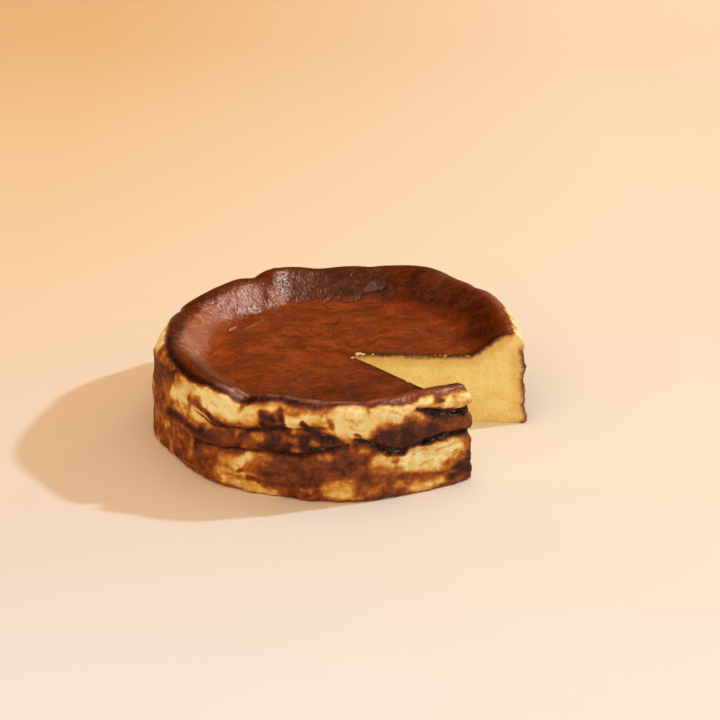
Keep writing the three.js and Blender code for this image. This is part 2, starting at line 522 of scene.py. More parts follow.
# The ridges and grooves of the top: at the slope's foot at the left and back, down the slope, near the tip,
# and a pit. Those without a rise only shine.
TOP_FOLDS = (
    Fold(((-177.3, 67.3), (176.9, 66.5)), 1.0, 0.9, 1.0),
    Fold(((178.7, 61.4), (170.0, 60.6), (162.2, 61.6)), 0.9, 1.0, 0.9),
    Fold(((-146.0, 6.2), (-165.0, 3.0), (11.0, 2.5)), 0.45, 1.8, 0.8),
    Fold(((-145.7, 69.7), (-152.3, 66.5), (-160.8, 63.9)), 0.25, 1.2, 0.6),
    Fold(((166.6, 70.5), (160.4, 71.3), (153.0, 73.5)), 0.0, 4.5, 1.0),
    Fold(((141.0, 93.0), (144.0, 84.0), (147.0, 77.0)), 1.1, 4.5, 0.3),
    Fold(((138.5, 88.0), (140.5, 83.0), (142.5, 77.0)), 0.0, 3.6, 0.85),
    Fold(
        (
            (140.0, 66.0), (131.0, 66.3), (125.0, 68.0), (121.0, 73.6),
            (115.0, 69.0), (110.0, 72.5), (107.0, 77.8), (100.0, 81.0),
        ), -0.4, 1.2,
    ),
    Fold(((123.5, 39.9), (121.0, 40.2)), -0.9, 1.3),
)


@dataclass(frozen=True)
class Stroke:
    """A patch of the wall that baked paler or darker: a line between two places on the unrolled wall.

    A place is a bearing and a climb, which is the height on the wall and goes on over the lip to the crest.
    The patch reaches some way from the line, and its edge is softer the wider and the paler it is.
    """

    start: tuple[float, float]
    end: tuple[float, float]
    reach: float
    level: float
    pale_softness: float = 1.15
    level_softness: float = 0.65
    edge_least: float = 0.8
    edge_most: float = 2.6
    edge_share: float = 0.45

    def mask(self, bearing: Array, climb: Array, arc: float) -> Array:
        """1 inside the patch and 0 outside it: the distance from the line, eased over the patch's edge.

        Args:
            bearing: The bearing of each point.
            climb: The climb of each point, in millimetres.
            arc: Millimetres round the wall in a degree.

        Returns:
            The share of the patch at each point.
        """
        line = np.array([turn(self.end[0], self.start[0]) * arc, self.end[1] - self.start[1]])
        away = np.stack([turn(bearing, self.start[0]) * arc, climb - self.start[1]], axis=-1)
        along = np.clip((away @ line) / (line @ line), 0.0, 1.0)
        distance = np.linalg.norm(away - along[..., None] * line, axis=-1)
        edge = min(self.edge_least + self.edge_share * self.reach, self.edge_most)
        soft = (self.pale_softness - self.level_softness * self.level) * edge
        return 1.0 - ease(self.reach - soft, self.reach + soft, distance)


class Bake(float, Enum):
    """How far a patch of the wall has browned, from cream to black."""

    MILK = 0.0
    CREAM = 0.07
    STRAW = 0.2
    GOLD = 0.33
    AMBER = 0.45
    RUST = 0.57
    BROWN = 0.72
    DARK = 0.87
    BLACK = 0.99


# Finer wrinkles of the paper, too shallow for the solid.
WRINKLES = (
    Crease(-45.0, -24.0, (12.4, 10.6, 8.6, 8.4, 9.2, 10.8), 0.9, 1.1, 0.0, 4.0),
    Crease(-49.0, -40.0, (17.5, 15.4, 14.6), 0.6, 1.0, 0.0, 3.0),
    Crease(-36.0, -22.0, (21.0, 22.4, 23.2), 0.5, 0.9, 0.0, 4.0),
    Crease(-102.0, -92.0, (9.0, 7.2, 6.4), 0.7, 1.1, 0.0, 3.0),
    Crease(-128.0, -112.0, (8.0, 6.4, 5.2), 0.8, 1.1, 0.0, 4.0),
    Crease(-75.0, -57.0, (43.4, 42.2, 41.8, 40.4), 0.5, 0.8, 0.0, 4.0),
)

# The patches of the side that shows, in the order in which they lie over one another.
# Each row has a bearing and climb, another bearing and climb, and the reach.
NEAR_PATCHES = (
    (Bake.BROWN, (
        (-80, 14, -70, 16, 6.0), (-63, 18, -55, 18, 5.0), (-45, 39, -22, 37.5, 3.2),
        (-140, 38, -126, 40, 7.0), (-105, 30, -88, 29, 6.0),
    )),
    (Bake.DARK, (
        (-127, 23, -106, 26, 2.5), (-126, 43, -122.5, 46.5, 2.4), (-84, 27, -72, 29, 4.6),
        (-105, 26.5, -93, 26.5, 1.5), (-78, 36, -71, 36, 2.0), (-52, 37, -47, 35, 3.2),
        (-51, 31, -35, 31, 3.4), (-49, 34.5, -39, 33.5, 3.0), (-58.5, 33.5, -53, 33.5, 1.9),
        (-29, 8, -21, 12, 4.0), (-24, 17, -21.5, 6, 2.0), (-93, 34, -84, 36.5, 1.4),
        (-66, 33, -61.5, 31.5, 2.0), (-69, 36.5, -65, 34.5, 2.8), (-75, 30, -64, 31, 2.6),
    )),
    (Bake.AMBER, (
        (-131, 36, -128, 34, 2.6), (-122, 46, -122.5, 40, 1.6), (-134, 21.5, -133.6, 20, 1.6),
        (-112, 17.5, -111.6, 16, 1.8), (-112.5, 9.5, -111, 10.5, 1.9), (-113, 28, -109, 28, 1.6),
        (-98, 38, -91, 37, 2.4), (-94, 46, -94, 34, 1.4), (-107, 40, -103, 40.5, 1.8),
        (-97, 16.5, -86, 18, 3.4), (-88, 21, -83, 20, 1.7), (-97, 13, -88, 8, 4.6),
        (-87.5, 42, -86.5, 38, 1.4), (-79, 33, -75, 32.5, 1.6), (-76, 28.5, -74.5, 28.5, 1.3),
        (-70.5, 33.5, -69, 32.5, 1.6), (-73, 7, -71, 6.5, 1.4), (-68.5, 24.5, -66, 24.5, 1.8),
        (-66, 7, -60, 9, 4.2), (-53, 18, -46, 15, 3.4), (-46, 7, -40, 6.4, 2.2), (-33, 8, -29, 12, 2.2),
        (-27.5, 17, -25, 20, 2.0), (-42.5, 43.5, -41, 42, 1.4), (-61, 34, -59.5, 28, 1.5),
        (-56.5, 8, -54.5, 6, 2.6), (-58.5, 3, -57, 2.5, 1.4), (-92.5, 25, -91, 26.5, 1.3),
        (-119, 15, -117, 14.5, 1.6), (-71, 48.5, -67, 48, 1.6), (-41, 16, -26, 20.5, 5.4),
    )),
    (Bake.GOLD, (
        (-129, 14.5, -125.5, 16.5, 2.0), (-122, 29, -117, 28.5, 1.6), (-115, 32, -108, 31.5, 1.6),
        (-104, 31, -99, 31.5, 0.9), (-99, 30, -97, 28, 1.1), (-88, 32, -85.5, 31, 1.5),
        (-97, 12.5, -94, 11.5, 1.9), (-57, 28.5, -55, 28, 1.3), (-34, 46, -28, 46, 1.4),
        (-65.5, 49, -63, 50, 1.8), (-34, 24.5, -29, 23.5, 1.6), (-92, 44, -88, 41.5, 3.6),
        (-83, 49.5, -72, 48, 1.8), (-95, 8, -88, 5.5, 3.2), (-96, 17, -89, 19, 2.8),
        (-95, 14, -91.5, 11, 2.8), (-100, 7, -97, 10, 2.4), (-66, 7.5, -61, 9.5, 3.0),
        (-57, 48.5, -55, 47, 2.0),
    )),
    (Bake.STRAW, (
        (-119, 41, -112, 46, 3.6), (-119, 32, -116, 29.5, 2.0), (-118, 48, -104, 49, 3.2),
        (-52, 22.5, -47.5, 20.8, 2.6), (-41, 22, -27, 22, 3.0), (-32, 17, -28, 19, 2.6),
        (-36, 14, -33, 13.5, 2.6), (-42, 3.4, -36, 3.6, 2.0), (-34, 4, -32.6, 4.4, 1.5),
        (-53, 44, -46, 43, 2.4), (-93, 4.5, -86, 3, 1.9), (-90, 1.5, -81, 2.2, 1.2),
        (-64.5, 4.5, -60, 5.5, 2.0), (-70, 43.5, -67, 41.5, 2.0), (-40, 44, -38, 41, 1.3),
        (-29, 44, -22, 43, 1.9), (-89.5, 47.5, -86, 46.5, 1.9), (-91, 45, -87.5, 43, 2.0),
        (-94.5, 17, -90, 19.5, 2.1), (-93.4, 14.5, -91.5, 11.5, 2.0), (-97.5, 4, -91, 4.5, 2.0),
    )),
    (Bake.CREAM, (
        (-163, 49.5, -141, 52, 4.2), (-124, 36, -115.5, 36.5, 3.2), (-110.5, 34.5, -104, 34.5, 2.7),
        (-90, 48, -82, 47, 1.5), (-79, 44, -72, 43, 2.0), (-78, 41, -75.5, 39.2, 2.2),
        (-73, 46.6, -67, 45.8, 1.5), (-89.8, 20.2, -92.4, 17, 1.7), (-92.6, 14.5, -91.4, 12, 1.5),
        (-63, 44, -56, 44, 5.6), (-63, 38.8, -56.5, 38.8, 3.2), (-62, 51, -56, 52.5, 2.8),
        (-54, 48, -42, 47, 3.4), (-39, 50, -35.5, 50.4, 2.3), (-30, 48.6, -21, 49.6, 2.6),
        (-95, 45, -89, 46, 2.2), (-43, 18.4, -34, 19.5, 5.2), (-36, 20, -27, 21.5, 3.8),
    )),
    (Bake.MILK, (
        (-108, 48.5, -96, 47, 4.2), (-104, 43.5, -96, 44, 4.0), (-97.5, 50, -94.5, 50.5, 2.8),
    )),
    (Bake.GOLD, (
        (-34.3, 21.6, -26, 23, 0.4), (-31.6, 18, -25, 19.5, 0.5), (-41, 21.6, -36.7, 22.7, 0.4),
        (-39, 15.6, -34.5, 16.6, 0.4), (-30, 15.5, -26, 17.5, 0.8), (-44.5, 20, -42, 17.5, 0.4),
        (-104, 47, -99, 43.5, 0.3), (-100, 49, -97, 45.5, 0.3), (-62, 46.5, -57.5, 43.5, 0.3),
        (-60.5, 41.5, -57, 40, 0.3), (-51, 48.5, -45.5, 45.5, 0.4), (-28, 49.5, -24, 48, 0.4),
    )),
    (Bake.CREAM, (
        (14, 50, 48, 51, 5.0),
    )),
    (Bake.BROWN, (
        (16, 37, 31, 37, 4.0),
    )),
    (Bake.RUST, (
        (-113.5, 38, -108, 40, 2.0), (-43.3, 12, -38.5, 8.8, 0.9), (-38.5, 8.8, -28.2, 8.2, 0.8),
        (-47.5, 21, -46.5, 20, 0.9), (-86.5, 15, -84.5, 13, 1.2), (-93, 13, -91, 12.5, 1.2),
        (-66, 45.5, -65.5, 42, 1.1), (-54.6, 52, -54.4, 49, 0.5), (-108, 40, -103.5, 39, 1.6),
    )),
    (Bake.AMBER, (
        (-97, 13, -95, 11.6, 1.2), (-94, 9.4, -92, 8.4, 1.3), (-90.5, 12.6, -88, 14.5, 1.2),
        (-97.6, 8, -96.6, 6, 0.9),
    )),
    (Bake.BROWN, (
        (-90, 9.2, -86.4, 7.8, 1.3), (-85, 12.5, -80, 9, 2.8), (-58.5, 37.5, -57.5, 36.8, 0.9),
        (-103, 27.5, -94, 28.5, 2.6), (-85.2, 44, -83.3, 40, 2.3), (-80.6, 45.5, -79.4, 38, 2.4),
    )),
    (Bake.DARK, (
        (-102.5, 37, -99, 35, 2.0), (-85, 43.2, -83.6, 40.5, 0.9), (-80.4, 44, -79.6, 39, 1.0),
        (-85, 38, -80, 37.5, 1.6), (-73, 42, -71, 38, 1.8), (-69, 36, -65, 34, 2.6),
        (-34, 47.8, -31.5, 48.8, 1.0), (-120, 7, -119, 6.5, 0.7), (-71, 29, -66, 30, 2.2),
    )),
    (Bake.STRAW, (
        (-41, 45, -39.8, 43.2, 0.7), (-38, 42, -36.8, 41, 0.6), (-35.4, 46, -34, 45.6, 0.7),
        (-32, 44.4, -30, 44, 0.6),
    )),
    # The black strokes along the creases: char, and painted shade below the overhanging rolls.
    (Bake.BLACK, (
        (-80, 24, -70, 27, 1.2), (-72, 29, -61, 31, 1.3), (-58.5, 34.7, -53.8, 31.6, 0.9),
        (-53.8, 31.6, -49.3, 27, 1.8), (-49.3, 26.8, -44.7, 24.6, 2.4), (-44.7, 24.6, -40.9, 26, 2.2),
        (-40.9, 26, -31.5, 29.2, 2.1), (-31.5, 29.2, -21, 28.8, 2.0), (-116, 5, -111, 5.5, 0.5),
        (-39.5, 45.4, -36.5, 43.4, 1.1), (-36.5, 43.2, -33.5, 41.2, 1.7), (-33.5, 41.4, -29, 40.4, 2.1),
        (-29, 40.2, -25, 39, 1.2), (-25, 39.4, -21, 40.6, 1.6), (-67, 36, -66, 34.6, 1.4),
        (-83.5, 43, -82.8, 41, 1.0),
    )),
)

# How far the crust reaches out over the crest, in millimetres, at bearings round the side that shows.
CRUST_EDGE = (
    (-180, 5.0), (-168, 4.6), (-161, 3.0), (-154, 0.6), (-148, -0.4), (-141, 0.2), (-135, 2.0),
    (-130, 4.0), (-125, 5.0), (-115, 5.8), (-110, 5.0), (-105, 3.6), (-98, 3.8), (-95, 2.2), (-93, 2.8),
    (-90, 5.6), (-88, 5.2), (-85, 4.0), (-80, 3.2), (-76, 3.6), (-70, 5.0), (-68, 4.4), (-66, 2.6),
    (-63, 1.6), (-57, 0.6), (-55, 1.6), (-53, 3.2), (-47, 4.2), (-40, 5.0), (-38.5, 2.8), (-33, 3.2),
    (-30, 4.4), (-26, 3.4), (-20, 2.0), (20, 0.4), (40, 0.8), (60, 4.0), (120, 4.5), (170, 5.0),
    (180, 5.0),
)


def near_strokes() -> tuple[Stroke, ...]:
    """The patches of the side that shows, as strokes."""
    return tuple(
        Stroke((row[0], row[1]), (row[2], row[3]), row[4], level)
        for level, rows in NEAR_PATCHES
        for row in rows
    )


def far_strokes(seed: int = 7, count: int = 72) -> tuple[Stroke, ...]:
    """Patches for the side that faces away, spread round it by the golden ratio.

    Their heights, lengths, tilts and reaches are seeded, and their levels come in turn.

    Args:
        seed: Seed of the random draw.
        count: How many patches there are.

    Returns:
        The patches, in the order in which they are laid on.
    """
    draw = np.random.default_rng(seed)
    levels = (Bake.DARK, Bake.AMBER, Bake.CREAM, Bake.GOLD, Bake.STRAW, Bake.RUST)
    first, across, golden = 22.0, 186.0, 0.618034
    heights, lengths, tilts, reaches = (3.0, 49.0), (2.0, 13.0), (-3.0, 3.0), (1.4, 4.6)
    made = []
    for i in range(count):
        bearing = first + across * ((i * golden) % 1.0)
        height = draw.uniform(*heights)
        length = draw.uniform(*lengths)
        end = (bearing + length, height + draw.uniform(*tilts))
        made.append(Stroke((bearing, height), end, draw.uniform(*reaches), levels[i % len(levels)]))
    return tuple(made)


@dataclass
class WallBaking:
    """How the oven coloured the wall: pale and dark patches, the crust's edge, and creases of char and
    painted shade.

    The patches and the edge are read at places that noise has moved, so that none of them runs straight.
    """

    skin: Skin
    aside: Mix = ((1.0, Lumps(11, 7.0, 2)), (0.5, Lumps(17, 2.6, 2)))
    upward: Mix = ((1.0, Lumps(18, 7.0, 2)), (0.5, Lumps(19, 2.6, 2)))
    upward_patch: float = 0.8
    upward_edge: float = 0.5
    ground: float = Bake.BROWN - 0.04
    mottle: Mix = ((0.16, Lumps(12, 8.0, 3)),)
    pale_side: Swell = Swell(-136.0, 1.0, 24.0)
    pale_share: float = 0.1
    streak_share: float = 0.2
    streaks: Lumps = Lumps(13, 3.2, 2)
    streak_stretch: Triple = (1.0, 1.0, 0.22)
    halo: float = 2.2
    halo_share: float = 0.8
    fringe: Swell = Swell(-78.0, 0.65, 16.0)
    fringe_least: float = 0.15
    fringe_lumps: Mix = ((0.5, Lumps(31, 5.0, 2)),)
    fringe_range: Range = (-6.0, -1.0)
    scorch: float = 0.88
    scorch_range: Range = (-2.2, 0.4)
    # The scorched line is lighter round these bearings; at the right-back it is partly a painted highlight on
    # the rim.
    light_edge: tuple[Swell, ...] = (
        Swell(48.0, 0.36, 40.0),
        Swell(150.0, 0.26, 60.0),
        Swell(-27.0, 0.3, 12.0),
    )
    crust_range: Range = (-0.6, 0.6)
    broken: Mix = ((0.6, Lumps(14, 6.0, 3)),)
    broken_mean: float = 0.5
    char_rise: float = 0.4
    char_width: float = 0.6
    char_bias: float = 0.55
    char_range: Range = (0.88, 1.0)
    # The dark line in each crease: partly char, partly painted shade below the overhanging roll.
    line_rise: float = 0.2
    line_width: float = 0.3
    line_bias: float = 0.6
    line_level: float = 0.94
    line_share: float = 0.9
    burnt: float = 0.97
    burnt_range: Range = (0.3, 0.9)
    arc: float = field(init=False)
    at: Array = field(init=False)
    climb: Array = field(init=False)
    over: Array = field(init=False)

    def __post_init__(self) -> None:
        """Finds where each point reads the patches, and how far past the crust's edge it lies."""
        skin = self.skin
        upward = mixed(self.upward, skin.points)
        self.arc = math.radians(skin.form.wall_radius)
        self.at = skin.bearing + mixed(self.aside, skin.points) / self.arc
        self.climb = skin.climb + self.upward_patch * upward
        reach = np.interp(self.at, *np.transpose(CRUST_EDGE))
        self.over = skin.beyond + reach + self.upward_edge * upward

    def values(self) -> dict[str, Array]:
        """The values that the finish reads, each from about 0 to 1.

        Returns:
            For each point of the skin: the browning of the wall, the share of crust, and the char.
        """
        crust = ease(*self.crust_range, self.over)
        browning, char = self._creased(self._edged(self._patches()), crust)
        return {"browning": browning, "crust": crust, "char": char}

    def _patches(self) -> Array:
        """The wall's browning: brown, streaked paler on one side, with the patches laid over one another."""
        skin = self.skin
        browning = self.ground + mixed(self.mottle, skin.points)
        streaks = np.maximum(self.streaks.at(skin.points * self.streak_stretch), 0.0)
        paler = self.pale_share + self.streak_share * streaks
        browning = browning - self.pale_side.of(skin.bearing) * paler
        for stroke in far_strokes() + near_strokes():
            if stroke.level <= Bake.STRAW:
                wider = replace(stroke, reach=stroke.reach + self.halo)
                halo = self.halo_share * wider.mask(self.at, self.climb, self.arc)
                browning = np.minimum(browning, blend(browning, Bake.AMBER, halo))
            browning = blend(browning, stroke.level, stroke.mask(self.at, self.climb, self.arc))
        return browning

    def _edged(self, browning: Array) -> Array:
        """The browning with an amber fringe below the crust's edge and a scorched line along it.

        Args:
            browning: The browning of the patches.

        Returns:
            The browning with both.
        """
        bearing = self.skin.bearing
        fringe = self.fringe_least + self.fringe.of(bearing) + mixed(self.fringe_lumps, self.skin.points)
        fringe = np.clip(fringe, 0.0, 1.0) * ease(*self.fringe_range, self.over)
        browning = np.maximum(browning, blend(browning, Bake.AMBER, fringe))
        # Lighter scorch at some bearings, at the right-back partly a painted highlight.
        scorch = self.scorch - swelling(self.light_edge, bearing)
        return blend(browning, scorch, ease(*self.scorch_range, self.over))

    def _creased(self, browning: Array, crust: Array) -> tuple[Array, Array]:
        """The browning with a dark line in each crease, partly painted shade, and the char in them and on all
        that is nearly black.

        Args:
            browning: The browning without the creases.
            crust: The share of crust, which has no char.

        Returns:
            The browning and the char.
        """
        skin = self.skin
        bearing, height = skin.bearing, skin.points[..., 2]
        char = np.zeros_like(height)
        broken = self.broken_mean + mixed(self.broken, skin.points)
        for crease in skin.form.creases:
            groove = crease.char * crease.groove(bearing, height - self.char_rise, self.char_width)
            char = np.maximum(char, groove * np.clip(broken + self.char_bias * crease.char, 0.0, 1.0))
            # A dark line low in each crease, partly painted shade.
            line = crease.groove(bearing, height - self.line_rise, self.line_width)
            line = line * np.clip(self.line_bias + broken, 0.0, 1.0)
            browning = np.maximum(browning, blend(browning, self.line_level, self.line_share * line))
        char = np.maximum(char, ease(*self.char_range, browning)) * (1.0 - crust)
        return blend(browning, self.burnt, ease(*self.burnt_range, char)), char


@dataclass
class TopBaking:
    """How the oven coloured the crust: its tone from black to tan, its wet and steep parts, and a painted
    highlight on the crest.

    Bells lie across the crest, along the slope's foot or beside the cuts, and swells lie round the cake.
    """

    skin: Skin
    over: Array
    tone: float = 0.3
    tan_gain: float = 0.42
    tone_lumps: Mix = ((0.14, Lumps(16, 14.0, 4)),)
    ragged: Mix = ((0.22, Lumps(15, 9.0, 3)),)
    ragged_range: Range = (0.75, 1.0)
    low_range: Range = (0.6, 0.96)
    pale_slope: Swell = Swell(-162.0, 1.3, 46.0)
    pale_range: Range = (1.0, 6.0)
    dark_crest: Swell = Swell(178.0, 8.0, 38.0)
    # The crest is painted lighter round these bearings, partly as a highlight where it catches the light.
    ridge: tuple[Swell, ...] = (Swell(-46.0, 0.45, 22.0), Swell(44.0, 0.5, 30.0), Swell(150.0, 0.12, 50.0))
    ridge_bell: Bell = Bell(-1.0, 5.5)
    edge: tuple[Swell, ...] = (Swell(-116.0, 1.0, 24.0), Swell(-82.0, 1.0, 11.0), Swell(-60.0, 0.5, 18.0))
    edge_bell: Bell = Bell(0.8, 2.2)
    edge_share: float = 0.5
    dull_floor: Swell = Swell(-55.0, 1.0, 52.0)
    dull_share: float = 0.3
    dull_range: Range = (12.0, 55.0)
    cut_bell: Bell = Bell(0.0, 3.0)
    cut_share: float = 0.3
    groove_share: float = 0.4
    wet: tuple[Swell, ...] = (Swell(167.0, 0.8, 24.0), Swell(-150.0, 0.4, 16.0))
    patchy: Mix = ((0.9, Lumps(32, 15.0, 2)),)
    patchy_mean: float = 0.45
    foot_bell: Bell = Bell(-5.0, 7.0)
    foot_damp: float = 0.5
    slope_damp: float = 0.45
    slope_range: Range = (0.7, 1.0)
    bright_rim: Swell = Swell(-62.0, 0.28, 40.0)
    bright_bell: Bell = Bell(-1.0, 4.0)
    fold_lumps: Mix = ((0.8, Lumps(20, 4.0, 2)),)
    fold_mean: float = 0.75
    steep_range: Range = (0.8, 1.0)
    calm: Swell = Swell(62.0, 0.6, 44.0)
    # A painted highlight: a pale line along parts of the crest, round these bearings.
    bloom: tuple[Swell, ...] = (Swell(-64.0, 1.0, 24.0), Swell(36.0, 0.65, 34.0), Swell(-99.5, 0.8, 4.0))
    highlight_bell: Bell = Bell(-0.3, 2.0)
    highlight_lumps: Mix = ((0.7, Lumps(33, 3.0, 2)),)
    highlight_mean: float = 0.75

    def values(self) -> dict[str, Array]:
        """The values that the finish reads, each from about 0 to 1.

        Returns:
            For each point of the skin: the crust's tone, wetness, steepness and painted highlight.
        """
        return {
            "tone": self._tone(),
            "wet": self._wetness(),
            "steep": self._steepness(),
            "bloom": self._bloom(),
        }

    def _tone(self) -> Array:
        """Tan on the floor, low on the slope and on its left, and darker along edges, cuts and grooves."""
        skin = self.skin
        points, bearing = skin.points, skin.bearing
        floor, slope = skin.on(Stretch.FLOOR), skin.on(Stretch.SLOPE)
        ragged = mixed(self.ragged, points) * (1.0 - ease(*self.ragged_range, skin.share))
        low = ease(*self.low_range, skin.share + ragged) * slope
        inward = self.over - self.dark_crest.of(bearing)
        top = slope + skin.on(Stretch.LIP)
        facing = self.pale_slope.of(bearing) * top * ease(*self.pale_range, inward)
        tan = np.maximum(np.maximum(floor, low), facing)
        tone = self.tone + self.tan_gain * tan + mixed(self.tone_lumps, points)
        # Lighter along the crest: partly a painted highlight.
        tone = tone + self.ridge_bell.of(skin.beyond) * swelling(self.ridge, bearing)
        edge = np.clip(swelling(self.edge, bearing), 0.0, 1.0)
        tone = tone - self.edge_share * edge * self.edge_bell.of(self.over)
        outward = ease(*self.dull_range, np.hypot(points[..., 0], points[..., 1]))
        tone = tone - self.dull_share * floor * self.dull_floor.of(bearing) * outward
        tone = tone - self.cut_share * skin.past_crest() * self.cut_bell.of(skin.to_cut())
        for fold in TOP_FOLDS:
            mask = fold.mask(points) * skin.past_crest()
            tone = tone + self.groove_share * min(fold.rise, 0.0) * mask
        return tone

    def _wetness(self) -> Array:
        """Damp in patches at the slope's foot and up it, with a bright near rim and wet folds."""
        skin = self.skin
        points, bearing = skin.points, skin.bearing
        foot = self.foot_bell.of(skin.beyond - skin.beyond[skin.row(Stretch.SLOPE)])
        slope = self.slope_damp * skin.on(Stretch.SLOPE) * (1.0 - ease(*self.slope_range, skin.share))
        patchy = np.clip(self.patchy_mean + mixed(self.patchy, points), 0.0, 1.0)
        damp = np.maximum(self.foot_damp * foot, slope) * patchy
        wet = damp * np.clip(swelling(self.wet, bearing), 0.0, 1.0)
        wet = np.maximum(wet, self.bright_rim.of(bearing) * self.bright_bell.of(skin.beyond))
        broken = np.clip(self.fold_mean + mixed(self.fold_lumps, points), 0.0, 1.0)
        for fold in TOP_FOLDS:
            mask = fold.mask(points) * skin.past_crest()
            wet = np.maximum(wet, fold.wet * mask * broken)
        return wet

    def _steepness(self) -> Array:
        """1 on the lip and most of the slope, less where the crust is calm."""
        skin = self.skin
        slope = skin.on(Stretch.SLOPE) * (1.0 - ease(*self.steep_range, skin.share))
        return (slope + skin.on(Stretch.LIP)) * (1.0 - self.calm.of(skin.bearing))

    def _bloom(self) -> Array:
        """A broken pale line along parts of the crest: a painted highlight."""
        skin = self.skin
        broken = np.clip(self.highlight_mean + mixed(self.highlight_lumps, skin.points), 0.0, 1.0)
        around = np.clip(swelling(self.bloom, skin.bearing), 0.0, 1.0)
        return self.highlight_bell.of(skin.beyond) * broken * around


@dataclass
class Relief:
    """The fine relief of the skin, too shallow for the solid.

    The wall has broad and small lumps, rougher along its foot, paper wrinkles, and blisters in its charred
    creases. The rim has slow lumps, the slope has wrinkles that run downhill, and the floor lies in slow
    waves. The folds stand on slope and floor, and the skin is torn beside the cuts.
    """

    skin: Skin
    wall: Mix = ((0.8, Lumps(21, 15.0, 2)), (0.55, Lumps(22, 5.0, 3)))
    wall_at_foot: float = 0.45
    wall_range: Range = (0.0, 6.0)
    foot: Lumps = Lumps(29, 4.2, 3)
    foot_share: float = 1.1
    foot_range: Range = (1.0, 6.0)
    blister: Lumps = Lumps(23, 2.8, 2)
    blister_share: float = 0.9
    blister_width: float = 1.3
    blister_char: float = 0.7
    torn: Lumps = Lumps(30, 3.2, 3)
    torn_bell: Bell = Bell(0.0, 5.0)
    torn_wall: float = 0.9
    torn_rim: float = 0.7
    rim: Mix = ((0.35, Lumps(25, 13.0, 2)),)
    rim_range: Range = (0.0, 0.4)
    downhill: Mix = ((0.2, Lumps(24, 1.0, 2)),)
    downhill_radius: float = 85.0
    downhill_spacing: float = 4.0
    downhill_waves: float = 5.0
    slope: Mix = ((0.3, Lumps(28, 7.0, 2)),)
    floor: Mix = ((0.4, Lumps(26, 22.0, 2)), (0.08, Lumps(27, 4.0, 2)))
    floor_range: Range = (0.0, 0.2)
    floor_fade: float = 4.0

    def lift(self) -> Array:
        """How far the relief lifts the skin along its normals, in millimetres."""
        skin, points = self.skin, self.skin.points
        wall = blend(self.wall_at_foot, 1.0, ease(*self.wall_range, points[..., 2]))
        wall = wall * (skin.stretch <= Stretch.WALL)
        rim = skin.on(Stretch.LIP) + skin.on(Stretch.SLOPE) * (1.0 - ease(*self.rim_range, skin.share))
        slope = skin.on(Stretch.SLOPE) * np.sin(math.pi * skin.share)
        floor = skin.on(Stretch.FLOOR) * np.minimum(1.0, self.floor_fade * (1.0 - skin.share))
        floor = floor * ease(*self.floor_range, skin.share)
        torn = self.torn_bell.of(skin.to_cut()) * self.torn.at(points)
        folds = sum(fold.rise * fold.mask(points) for fold in TOP_FOLDS)
        lifted = wall * (self._wall() + self.torn_wall * torn)
        lifted = lifted + rim * (mixed(self.rim, points) + self.torn_rim * torn)
        lifted = lifted + slope * self._slope() + floor * mixed(self.floor, points)
        return lifted + folds * skin.past_crest()

    def _wall(self) -> Array:
        """The wall's lumps, rougher ones along its foot, paper wrinkles, and blisters in charred creases."""
        skin, points = self.skin, self.skin.points
        bearing, height = skin.bearing, points[..., 2]
        lumps = mixed(self.wall, points)
        lumps = lumps + self.foot_share * (1.0 - ease(*self.foot_range, height)) * self.foot.at(points)
        lumps = lumps + sum(crease.relief(bearing, height) for crease in WRINKLES)
        charred = [crease for crease in skin.form.creases if crease.char >= self.blister_char]
        blister = sum(crease.char * crease.groove(bearing, height, self.blister_width) for crease in charred)
        return lumps + self.blister_share * np.clip(blister, 0.0, 1.0) * self.blister.at(points)

    def _slope(self) -> Array:
        """The slope's wrinkles, which are noise over the bearing and the way down, and its lumps."""
        skin = self.skin
        around = np.radians(skin.bearing) * self.downhill_radius / self.downhill_spacing
        down = skin.share * self.downhill_waves + 0.0 * skin.bearing
        unrolled = np.stack([around, down, 0.0 * skin.bearing], axis=-1)
        return mixed(self.downhill, unrolled) + mixed(self.slope, skin.points)


class Finish(IntEnum):
    """The finishes of the cake's faces, in the order of its material slots."""

    SKIN = 0
    CUT = 1
    BASE = 2


@dataclass
class Patch:
    """A grid of points with its place in the texture, run over the surface, finish and painted values."""

    points: Array
    chart: Array
    run: Array
    finish: Finish
    values: dict[str, Array]
    flip: bool = False


